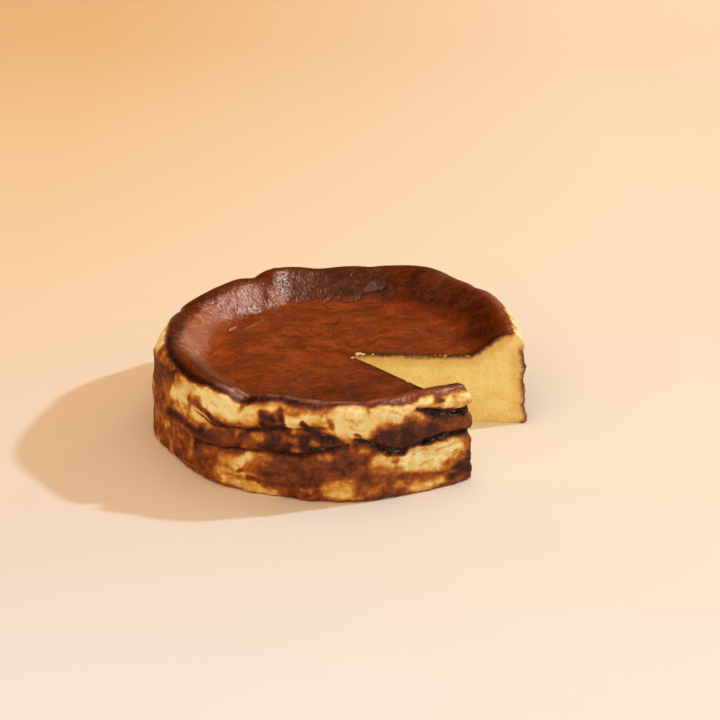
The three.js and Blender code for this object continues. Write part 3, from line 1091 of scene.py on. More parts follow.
@dataclass
class PatchMesh:
    """Patches joined into one mesh, in which points that agree to a few digits become one.

    A square that loses a side in this way becomes a triangle.
    """

    patches: list[Patch]
    names: tuple[str, ...] = (*SKIN_VALUES, "inside")
    digits: int = 4
    ids: Array = field(init=False)
    points: Array = field(init=False)
    values: dict[str, Array] = field(init=False)
    corners: Array = field(init=False)
    finish: Array = field(init=False)
    chart: Array = field(init=False)
    run: Array = field(init=False)

    def __post_init__(self) -> None:
        """Numbers the points, joins those that coincide, and lists the faces."""
        flat = np.concatenate([patch.points.reshape(-1, 3) for patch in self.patches])
        _, first, ids = np.unique(np.round(flat, self.digits), axis=0, return_index=True, return_inverse=True)
        self.ids = ids.reshape(-1)
        self.points = flat[first]
        self.values = {name: self._values(name)[first] for name in self.names}
        corners, offset = [], 0
        for patch in self.patches:
            corners.append(self._squares(patch) + offset)
            offset += patch.points.shape[0] * patch.points.shape[1]
        self.corners = np.concatenate(corners)
        self.finish = np.concatenate([np.full(len(c), p.finish) for c, p in zip(corners, self.patches)])
        self.chart = np.concatenate([patch.chart.reshape(-1, 2) for patch in self.patches])
        self.run = np.concatenate([patch.run.reshape(-1, 2) for patch in self.patches])

    def _values(self, name: str) -> Array:
        """One painted value for every point of every patch, 0 where a patch has none."""
        parts = [patch.values.get(name, np.zeros(patch.points.shape[:2])) for patch in self.patches]
        return np.concatenate([part.reshape(-1) for part in parts])

    @staticmethod
    def _squares(patch: Patch) -> Array:
        """The corners of a grid's squares: along the row, then up the column, or reversed if flipped."""
        rows, columns = patch.points.shape[:2]
        first = np.arange(rows - 1)[:, None] * columns + np.arange(columns - 1)[None, :]
        square = np.stack([first, first + 1, first + columns + 1, first + columns], axis=-1).reshape(-1, 4)
        return square[:, ::-1] if patch.flip else square

    def build(self, name: str, outline: Array) -> bpy.types.Object:
        """Makes the mesh and its object.

        Args:
            name: The object's name.
            outline: The points of the flat underside's outline, before joining, in order seen from below.

        Returns:
            The object, linked to the scene.
        """
        ids = self.ids[self.corners]
        whole = ids[:, 2] != ids[:, 3]
        under = self.ids[outline]
        loops = np.concatenate([ids[whole].reshape(-1), ids[~whole, :3].reshape(-1), under])
        squares, triangles = self.corners[whole], self.corners[~whole, :3]
        source = np.concatenate([squares.reshape(-1), triangles.reshape(-1), outline])
        sides = np.concatenate([np.full(whole.sum(), 4), np.full((~whole).sum(), 3), [len(under)]])
        finish = np.concatenate([self.finish[whole], self.finish[~whole], [Finish.BASE]])
        chart = self.chart[source]
        chart[-len(under) :] = BASE_CHART.place(self.points[under][:, :2])

        mesh = bpy.data.meshes.new(name)
        mesh.vertices.add(len(self.points))
        mesh.vertices.foreach_set("co", (self.points * MM).astype(np.float32).ravel())
        mesh.loops.add(len(loops))
        mesh.loops.foreach_set("vertex_index", loops.astype(np.int32))
        mesh.polygons.add(len(sides))
        mesh.polygons.foreach_set("loop_start", (np.cumsum(sides) - sides).astype(np.int32))
        mesh.polygons.foreach_set("material_index", finish.astype(np.int32))
        mesh.polygons.foreach_set("use_smooth", np.ones(len(sides), bool))
        mesh.update(calc_edges=True)
        self._sharpen(mesh, loops, sides, finish)
        for key, values in self.values.items():
            mesh.attributes.new(key, "FLOAT", "POINT").data.foreach_set("value", values.astype(np.float32))
        for key, places in (("OFBake", chart), ("Run", self.run[source])):
            mesh.uv_layers.new(name=key).data.foreach_set("uv", places.astype(np.float32).ravel())
        mesh.validate()
        made = bpy.data.objects.new(name, mesh)
        bpy.context.scene.collection.objects.link(made)
        return made

    @staticmethod
    def _sharpen(mesh: bpy.types.Mesh, loops: Array, sides: Array, finish: Array) -> None:
        """Marks the edges between two finishes as sharp, so that the cuts stay crisp."""
        starts = np.cumsum(sides) - sides
        following = np.arange(len(loops)) + 1
        following[starts + sides - 1] = starts
        pairs = np.sort(np.stack([loops, loops[following]], axis=-1), axis=-1).astype(np.int64)
        keys = pairs[:, 0] * len(mesh.vertices) + pairs[:, 1]
        owner = np.repeat(finish, sides)
        order = np.argsort(keys, kind="stable")
        keys, owner = keys[order], owner[order]
        same = keys[1:] == keys[:-1]
        split = keys[1:][same & (owner[1:] != owner[:-1])]
        ends = np.zeros(2 * len(mesh.edges), np.int32)
        mesh.edges.foreach_get("vertices", ends)
        ends = np.sort(ends.reshape(-1, 2), axis=-1).astype(np.int64)
        sharp = np.isin(ends[:, 0] * len(mesh.vertices) + ends[:, 1], split)
        mesh.attributes.new("sharp_edge", "BOOLEAN", "EDGE").data.foreach_set("value", sharp)


@dataclass(frozen=True)
class Chart:
    """A place in the texture: where a flat map starts, its scale and the texture's side, in millimetres."""

    left: float
    bottom: float
    scale: float = 1.0
    side: float = 346.0

    def place(self, flat: Array) -> Array:
        """A flat map's points, from its lower left corner, as places in the texture."""
        corner = flat.reshape(-1, 2).min(axis=0)
        return (np.array([self.left, self.bottom]) + (flat - corner) * self.scale) / self.side


TOP_CHART = Chart(2.0, 2.0)
CUT_CHARTS = (Chart(214.0, 2.0), Chart(214.0, 64.0))
BASE_CHART = Chart(214.0, 126.0, 0.38)
END_CHART = Chart(300.0, 126.0)
STRIP_CHARTS = (Chart(2.0, 213.0), Chart(2.0, 280.0))


@dataclass
class Cheesecake:
    """The cake: its skin, the faces of the two cuts and its flat underside, as one piece."""

    form: CakeForm
    strip_split: float = 0.55
    cut_relief: float = 0.22
    cut_lumps: tuple[Lumps, ...] = (Lumps(31, 3.2, 3), Lumps(32, 3.2, 3))
    cut_margin: float = 3.0
    end_lumps: Mix = ((0.7, Lumps(37, 2.0, 2)),)
    end_range: Range = (0.0, 0.1)
    end_fade: float = 6.0
    skin: Skin = field(init=False)

    def build(self) -> bpy.types.Object:
        """Builds the cake's piece.

        Returns:
            The piece, with its painted values but not its finishes.
        """
        self.skin = Skin(self.form)
        self.skin.push(Relief(self.skin).lift())
        wall = WallBaking(self.skin)
        values = {**wall.values(), **TopBaking(self.skin, wall.over).values()}
        patches = [*self._outside(values), *self._cuts(blend(values["browning"], Bake.DARK, values["crust"]))]
        mesh = PatchMesh(patches)
        return mesh.build("cheesecake_body", self._underside(patches))

    @staticmethod
    def dress(piece: bpy.types.Object) -> None:
        """Gives the cake its three finishes, in the order of its slots, and puts it in place of its solid."""
        settle(piece, BakedSkin().material(), CutCustard().material(), BakedBase().material())
        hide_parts(NODE)

    def _outside(self, values: dict[str, Array]) -> list[Patch]:
        """The skin as three patches: the wall in two strips, and the top.

        Args:
            values: The painted values of the whole skin.

        Returns:
            The patches, with the strips unrolled and the top seen from above in the texture.
        """
        skin = self.skin
        crest = skin.row(Stretch.LIP)
        split = int(self.strip_split * skin.columns)
        steps = np.linalg.norm(np.diff(skin.points, axis=1), axis=-1)
        around = np.concatenate([[0.0], np.cumsum(steps[: crest + 1].mean(axis=0))])
        climb = np.linalg.norm(np.diff(skin.points, axis=0), axis=-1).mean(axis=1)
        up = np.concatenate([[0.0], np.cumsum(climb)])
        run = np.stack(np.broadcast_arrays(around[None, :], up[:, None]), axis=-1)
        areas = (
            (slice(0, crest + 1), slice(0, split + 1), STRIP_CHARTS[0]),
            (slice(0, crest + 1), slice(split, None), STRIP_CHARTS[1]),
            (slice(crest, None), slice(None), TOP_CHART),
        )
        made = []
        for rows, columns, chart in areas:
            points = skin.points[rows, columns]
            flat = points[..., :2] if chart is TOP_CHART else run[rows, columns]
            part = {name: value[rows, columns] for name, value in values.items()}
            made.append(Patch(points, chart.place(flat), run[rows, columns] * MM, Finish.SKIN, part))
        return made

    def _cuts(self, rind: Array) -> list[Patch]:
        """The two cut faces and the blunt end between them.

        Args:
            rind: How far the skin has browned, at each of its points.

        Returns:
            A patch for each, painted with its depth below the outside and the browning of the nearest skin.
        """
        skin, form = self.skin, self.form
        crest = skin.row(Stretch.LIP)
        start = np.array([form.slice_point, 0.0])
        made = []
        for side, column in enumerate((0, -1)):
            angle = skin.ray[0, column]
            along = np.array([math.cos(angle), math.sin(angle)])
            edge = skin.points[:, column]
            edge = np.stack([(edge[:, :2] - start) @ along, edge[:, 2]], axis=-1)
            face, depth, nearest = self._stretched(edge[: crest + 1], edge[: crest - 1 : -1])
            level = np.concatenate([rind[: crest + 1, column], rind[: crest - 1 : -1, column]])[nearest]
            flat = np.concatenate([start + face[..., :1] * along, face[..., 1:]], axis=-1)
            inner = face[..., 0] - face[0, 0, 0]
            rough = self.cut_lumps[side].at(flat) * ease(0.0, self.cut_margin, np.minimum(depth, inner))
            across = np.array([math.sin(angle), -math.cos(angle), 0.0]) * (1.0 if side == 0 else -1.0)
            points = flat + self.cut_relief * rough[..., None] * across
            chart = CUT_CHARTS[side].place(face)
            painted = {"inside": depth, "browning": level}
            made.append(Patch(points, chart, face * MM, Finish.CUT, painted, flip=side == 1))
        return [*made, self._blunt_end(made[0])]

    @staticmethod
    def _stretched(wall: Array, top: Array) -> tuple[Array, Array, Array]:
        """A flat face stretched between its four edges.

        It is the sum of its two ruled surfaces, bottom to top and inner end to wall, less the patch through
        its corners.

        Args:
            wall: The outer edge, from the bottom up, as distance and height.
            top: The upper edge, from the inner end out.

        Returns:
            The face's grid, with rows going up, each point's depth below the wall and top, and the number of
            the nearest point of these two edges.
        """
        s = ((top[:, 0] - top[0, 0]) / (top[-1, 0] - top[0, 0]))[None, :, None]
        t = (wall[:, 1] / wall[-1, 1])[:, None, None]
        foot = top[0] * [1.0, 0.0]
        bottom = blend(foot, wall[0], s[0])
        inner = blend(foot, top[0], t[:, 0])
        corners = blend(blend(bottom[:1], bottom[-1:], s), blend(top[:1], top[-1:], s), t)
        face = blend(bottom[None], top[None], t) + blend(inner[:, None], wall[:, None], s) - corners
        away = np.sqrt(((face[:, :, None] - np.concatenate([wall, top])) ** 2).sum(axis=-1))
        return face, away.min(axis=-1), away.argmin(axis=-1)

    def _blunt_end(self, cut: Patch) -> Patch:
        """The torn end of the gap: upright lines from the underside to the top, lumpy but for its edges.

        Args:
            cut: The far cut's face, whose inner edge gives the rows their heights.

        Returns:
            The end's patch, seen from inside the gap.
        """
        skin = self.skin
        pick = np.round(np.linspace(0, skin.columns, skin.end_steps + 1)).astype(int)
        top = skin.points[-1, pick][::-1]
        share = (cut.points[:, 0, 2] / cut.points[-1, 0, 2])[:, None]
        x, y, z = np.broadcast_arrays(top[:, 0], top[:, 1], share * top[:, 2])
        points = np.stack([x, y, z], axis=-1)
        middle = (1.0 - (y / self.form.end_half) ** 2) * np.minimum(1.0, self.end_fade * (1.0 - share))
        middle = middle * ease(*self.end_range, share)
        lumps = mixed(self.end_lumps, points)
        points = points + middle[..., None] * [1.0, 0.0, 0.0] * lumps[..., None]
        depth = np.broadcast_to(top[:, 2] * (1.0 - share), z.shape)
        flat = points[..., 1:]
        painted = {"inside": depth, "browning": np.full(depth.shape, Bake.AMBER)}
        return Patch(points, END_CHART.place(flat), flat * MM, Finish.CUT, painted)

    def _underside(self, patches: list[Patch]) -> Array:
        """The flat underside's outline as point numbers: round the foot and along the gap, seen from below.

        Args:
            patches: The cake's patches, in order.

        Returns:
            The numbers, before joining, without repeats.
        """
        starts = np.cumsum([0, *(patch.points.shape[0] * patch.points.shape[1] for patch in patches)])
        widths = [patch.points.shape[1] for patch in patches]
        foot = np.concatenate([starts[0] + np.arange(widths[0]), starts[1] + np.arange(1, widths[1])])
        far = starts[3] + np.arange(widths[3] - 1)
        near = starts[4] + np.arange(widths[4] - 1)
        end = starts[5] + np.arange(1, widths[5] - 1)
        return np.concatenate([foot, near[::-1], end, far])[::-1]


@dataclass
class Crumbs:
    """Torn bits of custard and crust along the upper edges of the cuts: small lumpy balls, set by a seed.

    The clusters are shares of the way from the crest to the tip of the gap.
    """

    skin: Skin
    count: int = 22
    sizes: Range = (0.25, 0.75)
    seed: int = 41
    rings: int = 6
    sides: int = 9
    far_share: float = 0.85
    clusters: tuple[float, ...] = (0.995, 0.995, 0.95, 0.83, 0.71, 0.68, 0.5)
    cluster_spread: float = 0.012
    tip_from: float = 0.99
    tip_growth: float = 1.6
    tip_shade: float = 0.7
    strewn: float = 0.5
    sunk: float = 0.25
    stretches: Range = (0.7, 1.9)
    squash: Triple = (1.0, 1.0, 0.55)
    lumps: Lumps = Lumps(42, 0.8, 1)
    lump_share: float = 0.25

    def build(self) -> bpy.types.Object:
        """Builds all crumbs as one piece.

        Each crumb is a ball on a grid of rings and sides, squashed and stretched at random and made lumpy by
        noise, sunk into a cut's upper edge. The crumbs lie in a few clusters, most of them near the tip.

        Returns:
            The piece, with each crumb's shade as its painted value.
        """
        draw = np.random.default_rng(self.seed)
        crest = self.skin.row(Stretch.LIP)
        far, near = (self.skin.points[crest:, column] for column in (0, -1))
        edge = np.where((draw.random(self.count) < self.far_share)[:, None], 0, 1)
        share = draw.choice(self.clusters, self.count)
        tip = share > self.tip_from
        share = share + draw.normal(0.0, self.cluster_spread, self.count)
        place = (len(far) - 1) * np.clip(share, 0.0, 1.0)
        low = np.floor(place).astype(int)[:, None].clip(0, len(far) - 2)
        share = place[:, None] - low
        tracks = np.stack([far, near])
        spot = blend(tracks[edge, low], tracks[edge, low + 1], share[..., None])[:, 0]
        size = draw.uniform(*self.sizes, self.count) * np.where(tip, self.tip_growth, 1.0)
        spot += draw.normal(0.0, self.strewn, (self.count, 3)) * [1.0, 1.0, 0.0]
        spot -= size[:, None] * [0.0, 0.0, self.sunk]

        pole = np.linspace(0.0, math.pi, self.rings)[:, None]
        around = np.linspace(0.0, 2.0 * math.pi, self.sides + 1)[None, :]
        x, y, z = np.sin(pole) * np.cos(around), np.sin(pole) * np.sin(around), np.cos(pole)
        ball = np.stack(np.broadcast_arrays(x, y, z), axis=-1)
        wide = size[:, None, None, None]
        points = spot[:, None, None] + ball * (
            draw.uniform(*self.stretches, (self.count, 1, 1, 3)) * self.squash * wide
        )
        points += ball * (self.lump_share * wide) * self.lumps.at(points)[..., None]
        points[:, :, -1] = points[:, :, 0]
        shade = draw.random(self.count)
        shade = np.where(tip, blend(self.tip_shade, 1.0, shade), shade)
        shade = np.broadcast_to(shade[:, None, None], points.shape[:3])
        corner = np.zeros(points.shape[1:3] + (2,))
        patches = [
            Patch(p, corner, corner, Finish.SKIN, {"tone": s}, flip=True) for p, s in zip(points, shade)
        ]
        return self._join(patches)

    @staticmethod
    def dress(piece: bpy.types.Object) -> None:
        """Gives the crumbs their finish."""
        settle(piece, Crumb().material())

    @staticmethod
    def _join(patches: list[Patch]) -> bpy.types.Object:
        """Joins the balls into one mesh of squares and triangles."""
        mesh = PatchMesh(patches, ("tone",))
        ids = mesh.ids[mesh.corners]
        faces = [list(dict.fromkeys(face)) for face in ids.tolist()]
        made = bpy.data.meshes.new("cut_crumbs")
        made.from_pydata((mesh.points * MM).tolist(), [], faces)
        made.polygons.foreach_set("use_smooth", np.ones(len(faces), bool))
        tone = made.attributes.new("tone", "FLOAT", "POINT")
        tone.data.foreach_set("value", mesh.values["tone"].astype(np.float32))
        made.update()
        piece = bpy.data.objects.new("cut_crumbs", made)
        bpy.context.scene.collection.objects.link(piece)
        return piece


class Over(Enum):
    """What a grain is spread over: the place on the object, or the way round the cake and up its section."""

    PLACE = "place"
    RUN = "run"


@dataclass(frozen=True)
class Grain:
    """A noise in a finish: its lumps' size in millimetres, detail, roughness and warp, its stretch and turn.

    The strength says how much it adds, as a depth in millimetres where it is relief. Flecks of it grow from
    none to all between two values of the noise.
    """

    size: float
    detail: float = 3.0
    rough: float = 0.55
    warp: float = 0.0
    stretch: Triple = (1.0, 1.0, 1.0)
    turned: float = 0.0
    over: Over = Over.PLACE
    strength: float = 1.0
    between: Range = (0.0, 1.0)


class Graph:
    """A material's nodes, written as nested calls that each return a socket."""

    def __init__(self, name: str) -> None:
        """Starts a material with no nodes."""
        self.material = bpy.data.materials.new(name)
        self.material.use_nodes = True
        self.tree = self.material.node_tree
        self.tree.nodes.clear()

    def node(self, kind: str, inputs: dict | None = None, **settings: object) -> bpy.types.Node:
        """Adds a node.

        Args:
            kind: The node's type, without "ShaderNode".
            inputs: A value, or a socket to link, for each input by name or number.
            settings: Values for the node's own properties.

        Returns:
            The node.
        """
        made = self.tree.nodes.new("ShaderNode" + kind)
        for key, value in settings.items():
            setattr(made, key, value)
        for key, value in (inputs or {}).items():
            if isinstance(value, Socket):
                self.tree.links.new(value, made.inputs[key])
            else:
                made.inputs[key].default_value = value
        return made

    def painted(self, name: str) -> Socket:
        """One of the mesh's painted values."""
        return self.node("Attribute", attribute_name=name).outputs["Fac"]

    def place(self, stretch: Triple = (1.0, 1.0, 1.0), turned: float = 0.0) -> Socket:
        """The place on the object in metres, turned about the vertical by degrees and then stretched."""
        spot = self.node("TexCoord").outputs["Object"]
        spun = self.node("Mapping", {"Vector": spot, "Rotation": (0.0, 0.0, math.radians(turned))})
        return self.node("Mapping", {"Vector": spun.outputs[0], "Scale": stretch}).outputs[0]

    def run(self, stretch: Triple) -> Socket:
        """The place along the surface, round the cake and up its section, in metres, stretched."""
        spot = self.node("UVMap", uv_map="Run").outputs[0]
        return self.node("Mapping", {"Vector": spot, "Scale": stretch}).outputs[0]

    def noise(self, grain: Grain) -> Socket:
        """A grain's noise, from 0 to 1."""
        along = grain.over is Over.RUN
        values = {
            "Vector": self.run(grain.stretch) if along else self.place(grain.stretch, grain.turned),
            "Scale": 1.0 / (grain.size * MM),
            "Detail": grain.detail,
            "Roughness": grain.rough,
            "Distortion": grain.warp,
        }
        return self.node("TexNoise", values).outputs["Fac"]

    def ripple(self, grain: Grain) -> Socket:
        """A grain's noise about 0, times its strength."""
        return self.times(self.minus(self.noise(grain), 0.5), grain.strength)

    def flecks(self, grain: Grain) -> Socket:
        """A grain's flecks, as much as its strength where they are full."""
        return self.spread(self.noise(grain), grain.between, (0.0, grain.strength))

    def calc(self, how: str, first: Socket | float, second: Socket | float, clamp: bool = False) -> Socket:
        """One step of arithmetic."""
        return self.node("Math", {0: first, 1: second}, operation=how, use_clamp=clamp).outputs[0]

    def plus(self, first: Socket | float, second: Socket | float) -> Socket:
        """The sum of two values."""
        return self.calc("ADD", first, second)

    def minus(self, first: Socket | float, second: Socket | float) -> Socket:
        """The difference of two values."""
        return self.calc("SUBTRACT", first, second)

    def times(self, first: Socket | float, second: Socket | float) -> Socket:
        """The product of two values."""
        return self.calc("MULTIPLY", first, second)

    def spread(self, value: Socket, within: Range, to: Range = (0.0, 1.0)) -> Socket:
        """A value within one range, stretched to another and held inside it."""
        (low, high), (least, most) = within, to
        values = {"Value": value, "From Min": low, "From Max": high, "To Min": least, "To Max": most}
        return self.node("MapRange", values).outputs[0]

    def ramp(self, value: Socket, stops: Stops) -> Socket:
        """A colour for a value, blended between stops."""
        made = self.node("ValToRGB", {"Fac": value})
        band = made.color_ramp.elements
        while len(band) < len(stops):
            band.new(1.0)
        for element, (at, colour) in zip(band, stops):
            element.position = at
            element.color = linear(colour)
        return made.outputs["Color"]

    def mix(self, share: Socket, first: Socket | tuple, second: Socket | tuple) -> Socket:
        """Two colours mixed by a share, through the node's own colour sockets."""
        return self.node("Mix", {0: share, 6: first, 7: second}, data_type="RGBA").outputs[2]

    def bump(self, height: Socket, depth: float, below: Socket | None = None) -> Socket:
        """A bump of a depth in millimetres, over an earlier one if there is one."""
        values = {"Height": height, "Distance": depth * MM, "Strength": 1.0}
        if below is not None:
            values["Normal"] = below
        return self.node("Bump", values).outputs[0]

    def emboss(self, grain: Grain, share: Socket | float = 1.0, below: Socket | None = None) -> Socket:
        """A grain's noise as a bump, where a share lets it appear."""
        return self.bump(self.times(self.noise(grain), share), grain.strength, below)

    def finish(self, inputs: dict) -> bpy.types.Material:
        """Ends the graph in a Principled surface with these inputs."""
        surface = self.node("BsdfPrincipled", inputs).outputs[0]
        self.node("OutputMaterial", {"Surface": surface})
        return self.material


@dataclass(frozen=True)
class BakedSkin:
    """The outside: custard that browned against paper on the wall, and a dark, satin crust on top."""

    wall: Stops = (
        (0.0, (250, 238, 184)),
        (0.14, (244, 220, 149)),
        (0.28, (227, 173, 78)),
        (0.42, (190, 115, 38)),
        (0.56, (151, 74, 25)),
        (0.72, (112, 53, 21)),
        (0.87, (68, 26, 9)),
        (1.0, (26, 11, 7)),
    )
    crust: Stops = (
        (0.0, (45, 17, 8)),
        (0.3, (88, 36, 6)),
        (0.72, (128, 50, 3)),
        (1.0, (162, 69, 18)),
    )
    # Painted highlights: grey glints on the char, and pale pink glints and the crest's line on the crust.
    glint_grey: Colour = (150, 132, 130)
    bloom: Colour = (168, 100, 84)
    sheen: Colour = (255, 226, 206)
    mottle: Grain = Grain(5.0, 3.0, 0.5, 0.6)
    mottle_from: Range = (0.0, 0.4)
    mottle_to: Range = (0.42, 0.62)
    fine: Grain = Grain(1.6, 3.0, 0.55, 0.5, (0.7, 1.0, 1.0), over=Over.RUN, strength=0.24)
    streak: Grain = Grain(1.6, 5.0, 0.7, 1.2, (0.55, 1.0, 1.0), -VIEW_AZIMUTH, strength=1.7)
    streak_depth: float = 0.25
    blotch: Grain = Grain(10.0, 5.0, 0.65, 0.8, (0.7, 1.0, 1.0), -VIEW_AZIMUTH, strength=1.2)
    runs: Grain = Grain(1.3, 4.0, 0.65, 0.8, (1.0, 0.5, 1.0), over=Over.RUN, strength=1.3)
    pits: Grain = Grain(2.2, 2.0, 0.5, strength=0.4, between=(0.64, 0.72))
    # Painted glints on the crust, as pale pink flecks.
    crust_highlights: Grain = Grain(
        2.6, 4.0, 0.65, 0.8, (0.5, 1.0, 1.0), -VIEW_AZIMUTH, strength=0.26, between=(0.5, 0.74)
    )
    # Painted glints on the char, as grey flecks.
    char_glints: Grain = Grain(
        1.7, 2.0, 0.5, 0.8, (0.6, 1.0, 1.0), over=Over.RUN, strength=0.6, between=(0.6, 0.68)
    )
    wrinkle: Grain = Grain(2.3, 3.0, 0.5, 0.5, (1.0, 0.6, 1.0), over=Over.RUN, strength=0.5)
    crinkle: Grain = Grain(2.6, 4.0, 0.6, 1.0, (0.6, 1.0, 1.0), over=Over.RUN, strength=1.7)
    blisters: Grain = Grain(3.0, 2.0, strength=0.9)
    drops: Grain = Grain(2.0, 2.0, 0.5, strength=0.45)
    pores: Grain = Grain(0.9, 4.0, 0.6, strength=0.06)
    satin: Grain = Grain(2.4, 4.0, 0.6, stretch=(1.0, 1.0, 1.5), between=(0.3, 0.7))
    satin_rough: Range = (0.28, 0.38)
    wall_rough: float = 0.42
    char_gloss: float = 0.72
    wet_gloss: float = 0.28
    wet_coat: float = 0.7
    steep_share: float = 0.65

    def material(self) -> bpy.types.Material:
        """Makes the skin's material from the painted values, with finer mottling, wrinkles and pores."""
        g = Graph("baked_skin")
        paint = {name: g.painted(name) for name in SKIN_VALUES}
        paint["level"] = g.minus(1.0, g.times(paint["steep"], self.steep_share))
        normal = self._relief(g, paint)
        return g.finish({
            "Base Color": self._colour(g, paint),
            "Roughness": self._roughness(g, paint),
            "Normal": normal,
            "Specular IOR Level": 0.34,
            "Specular Tint": linear(self.sheen),
            "Coat Weight": g.times(paint["wet"], self.wet_coat),
            "Coat Roughness": 0.12,
            "Coat Normal": normal,
        })

    def _colour(self, g: Graph, paint: dict[str, Socket]) -> Socket:
        """The wall's colour by its browning, the crust's by its tone, then painted highlights on the crust
        and painted glints on the char.

        Args:
            g: The material's graph.
            paint: The painted values.

        Returns:
            The colour.
        """
        crust, steep, level = paint["crust"], paint["steep"], paint["level"]
        varied = g.spread(paint["browning"], self.mottle_from, self.mottle_to)
        mottle = g.times(g.ripple(self.mottle), varied)
        wall = g.ramp(g.plus(g.plus(mottle, g.ripple(self.fine)), paint["browning"]), self.wall)
        flow = g.plus(g.ripple(self.streak), g.ripple(self.blotch))
        tone = g.plus(g.times(flow, level), paint["tone"])
        tone = g.plus(tone, g.times(g.ripple(self.runs), steep))
        tone = g.minus(tone, g.times(g.flecks(self.pits), steep))
        colour = g.mix(crust, wall, g.ramp(tone, self.crust))
        # Painted highlights on the crust: pale pink glints and the crest's line.
        crust_highlights = g.calc("MAXIMUM", paint["bloom"], g.times(g.flecks(self.crust_highlights), level))
        colour = g.mix(g.times(crust_highlights, crust), colour, linear(self.bloom))
        # Painted glints on the char, in grey.
        return g.mix(g.times(g.flecks(self.char_glints), paint["char"]), colour, linear(self.glint_grey))

    def _relief(self, g: Graph, paint: dict[str, Socket]) -> Socket:
        """Wrinkles and streaks on the crust, crinkles on the wall, blisters on char, drops, and pores.

        Args:
            g: The material's graph.
            paint: The painted values.

        Returns:
            The normal.
        """
        crust = paint["crust"]
        normal = g.emboss(self.wrinkle, g.times(crust, paint["steep"]))
        streaks = replace(self.streak, strength=self.streak_depth)
        normal = g.emboss(streaks, g.times(crust, paint["level"]), normal)
        normal = g.emboss(self.crinkle, g.minus(1.0, crust), normal)
        normal = g.emboss(self.blisters, paint["char"], normal)
        normal = g.emboss(self.drops, paint["wet"], normal)
        return g.emboss(self.pores, below=normal)

    def _roughness(self, g: Graph, paint: dict[str, Socket]) -> Socket:
        """Satin on the crust, duller on the wall, glossier where it is charred or wet.

        Args:
            g: The material's graph.
            paint: The painted values.

        Returns:
            The roughness.
        """
        satin = g.spread(g.noise(self.satin), self.satin.between, self.satin_rough)
        rough = g.plus(satin, g.spread(paint["crust"], (0.0, 1.0), (self.wall_rough, 0.0)))
        rough = g.minus(rough, g.times(paint["char"], self.char_gloss))
        return g.calc("SUBTRACT", rough, g.times(paint["wet"], self.wet_gloss), clamp=True)


@dataclass(frozen=True)
class CutCustard:
    """The cut: pale, fine-grained custard, which blushes below a thin rind of the skin's own colour."""

    pale: Colour = (253, 236, 172)
    warm: Colour = (241, 214, 130)
    blush: Colour = (214, 150, 62)
    rind: Stops = BakedSkin.wall
    rind_range: Range = (0.35, 2.6)
    blush_range: Range = (0.4, 8.0)
    blush_most: float = 0.8
    warm_range: Range = (0.8, 1.2)
    mottle: Grain = Grain(9.0, 4.0, 0.6)
    fine: Grain = Grain(1.2, 3.0, 0.6)
    ragged: Grain = Grain(2.0, 3.0, strength=2.6)
    lumps: Grain = Grain(3.0, 3.0, strength=0.25)
    pores: Grain = Grain(1.1, 4.0, 0.65, between=(0.25, 0.55))
    pore_depth: float = 0.18

    def material(self) -> bpy.types.Material:
        """Makes the cut's material: colour by depth below the outside, with pores and a faint mottle."""
        g = Graph("cut_custard")
        mottle = g.plus(g.noise(self.mottle), g.noise(self.fine))
        body = g.mix(g.spread(mottle, self.warm_range), linear(self.pale), linear(self.warm))
        depth = g.plus(g.painted("inside"), g.ripple(self.ragged))
        browned = g.painted("browning")
        share = g.times(g.spread(depth, self.blush_range, (self.blush_most, 0.0)), browned)
        body = g.mix(share, body, linear(self.blush))
        return g.finish({
            "Base Color": g.mix(g.spread(depth, self.rind_range), g.ramp(browned, self.rind), body),
            "Roughness": 0.52,
            "Normal": g.bump(g.flecks(self.pores), self.pore_depth, g.emboss(self.lumps)),
            "Specular IOR Level": 0.3,
            "Subsurface Weight": 0.25,
            "Subsurface Radius": (1.0, 0.6, 0.25),
            "Subsurface Scale": 0.003,
        })


@dataclass(frozen=True)
class BakedBase:
    """The underside: an even brown skin, mottled where the paper lay."""

    stops: Stops = (
        (0.25, (96, 48, 24)),
        (0.5, (140, 78, 36)),
        (0.75, (196, 132, 66)),
    )
    mottle: Grain = Grain(14.0, 6.0, 0.6)
    lumps: Grain = Grain(2.5, 4.0, strength=0.3)

    def material(self) -> bpy.types.Material:
        """Makes the underside's material."""
        g = Graph("baked_base")
        colour = g.ramp(g.noise(self.mottle), self.stops)
        return g.finish({"Base Color": colour, "Roughness": 0.6, "Normal": g.emboss(self.lumps)})


@dataclass(frozen=True)
class Crumb:
    """The crumbs: bits of custard and of crust."""

    stops: Stops = (
        (0.0, (96, 44, 20)),
        (0.45, (176, 100, 46)),
        (1.0, (240, 204, 150)),
    )
    lumps: Grain = Grain(0.6, 2.0, strength=0.1)

    def material(self) -> bpy.types.Material:
        """Makes the crumbs' material, a shade for each crumb."""
        g = Graph("crumb")
        colour = g.ramp(g.painted("tone"), self.stops)
        return g.finish({"Base Color": colour, "Roughness": 0.35, "Normal": g.emboss(self.lumps)})


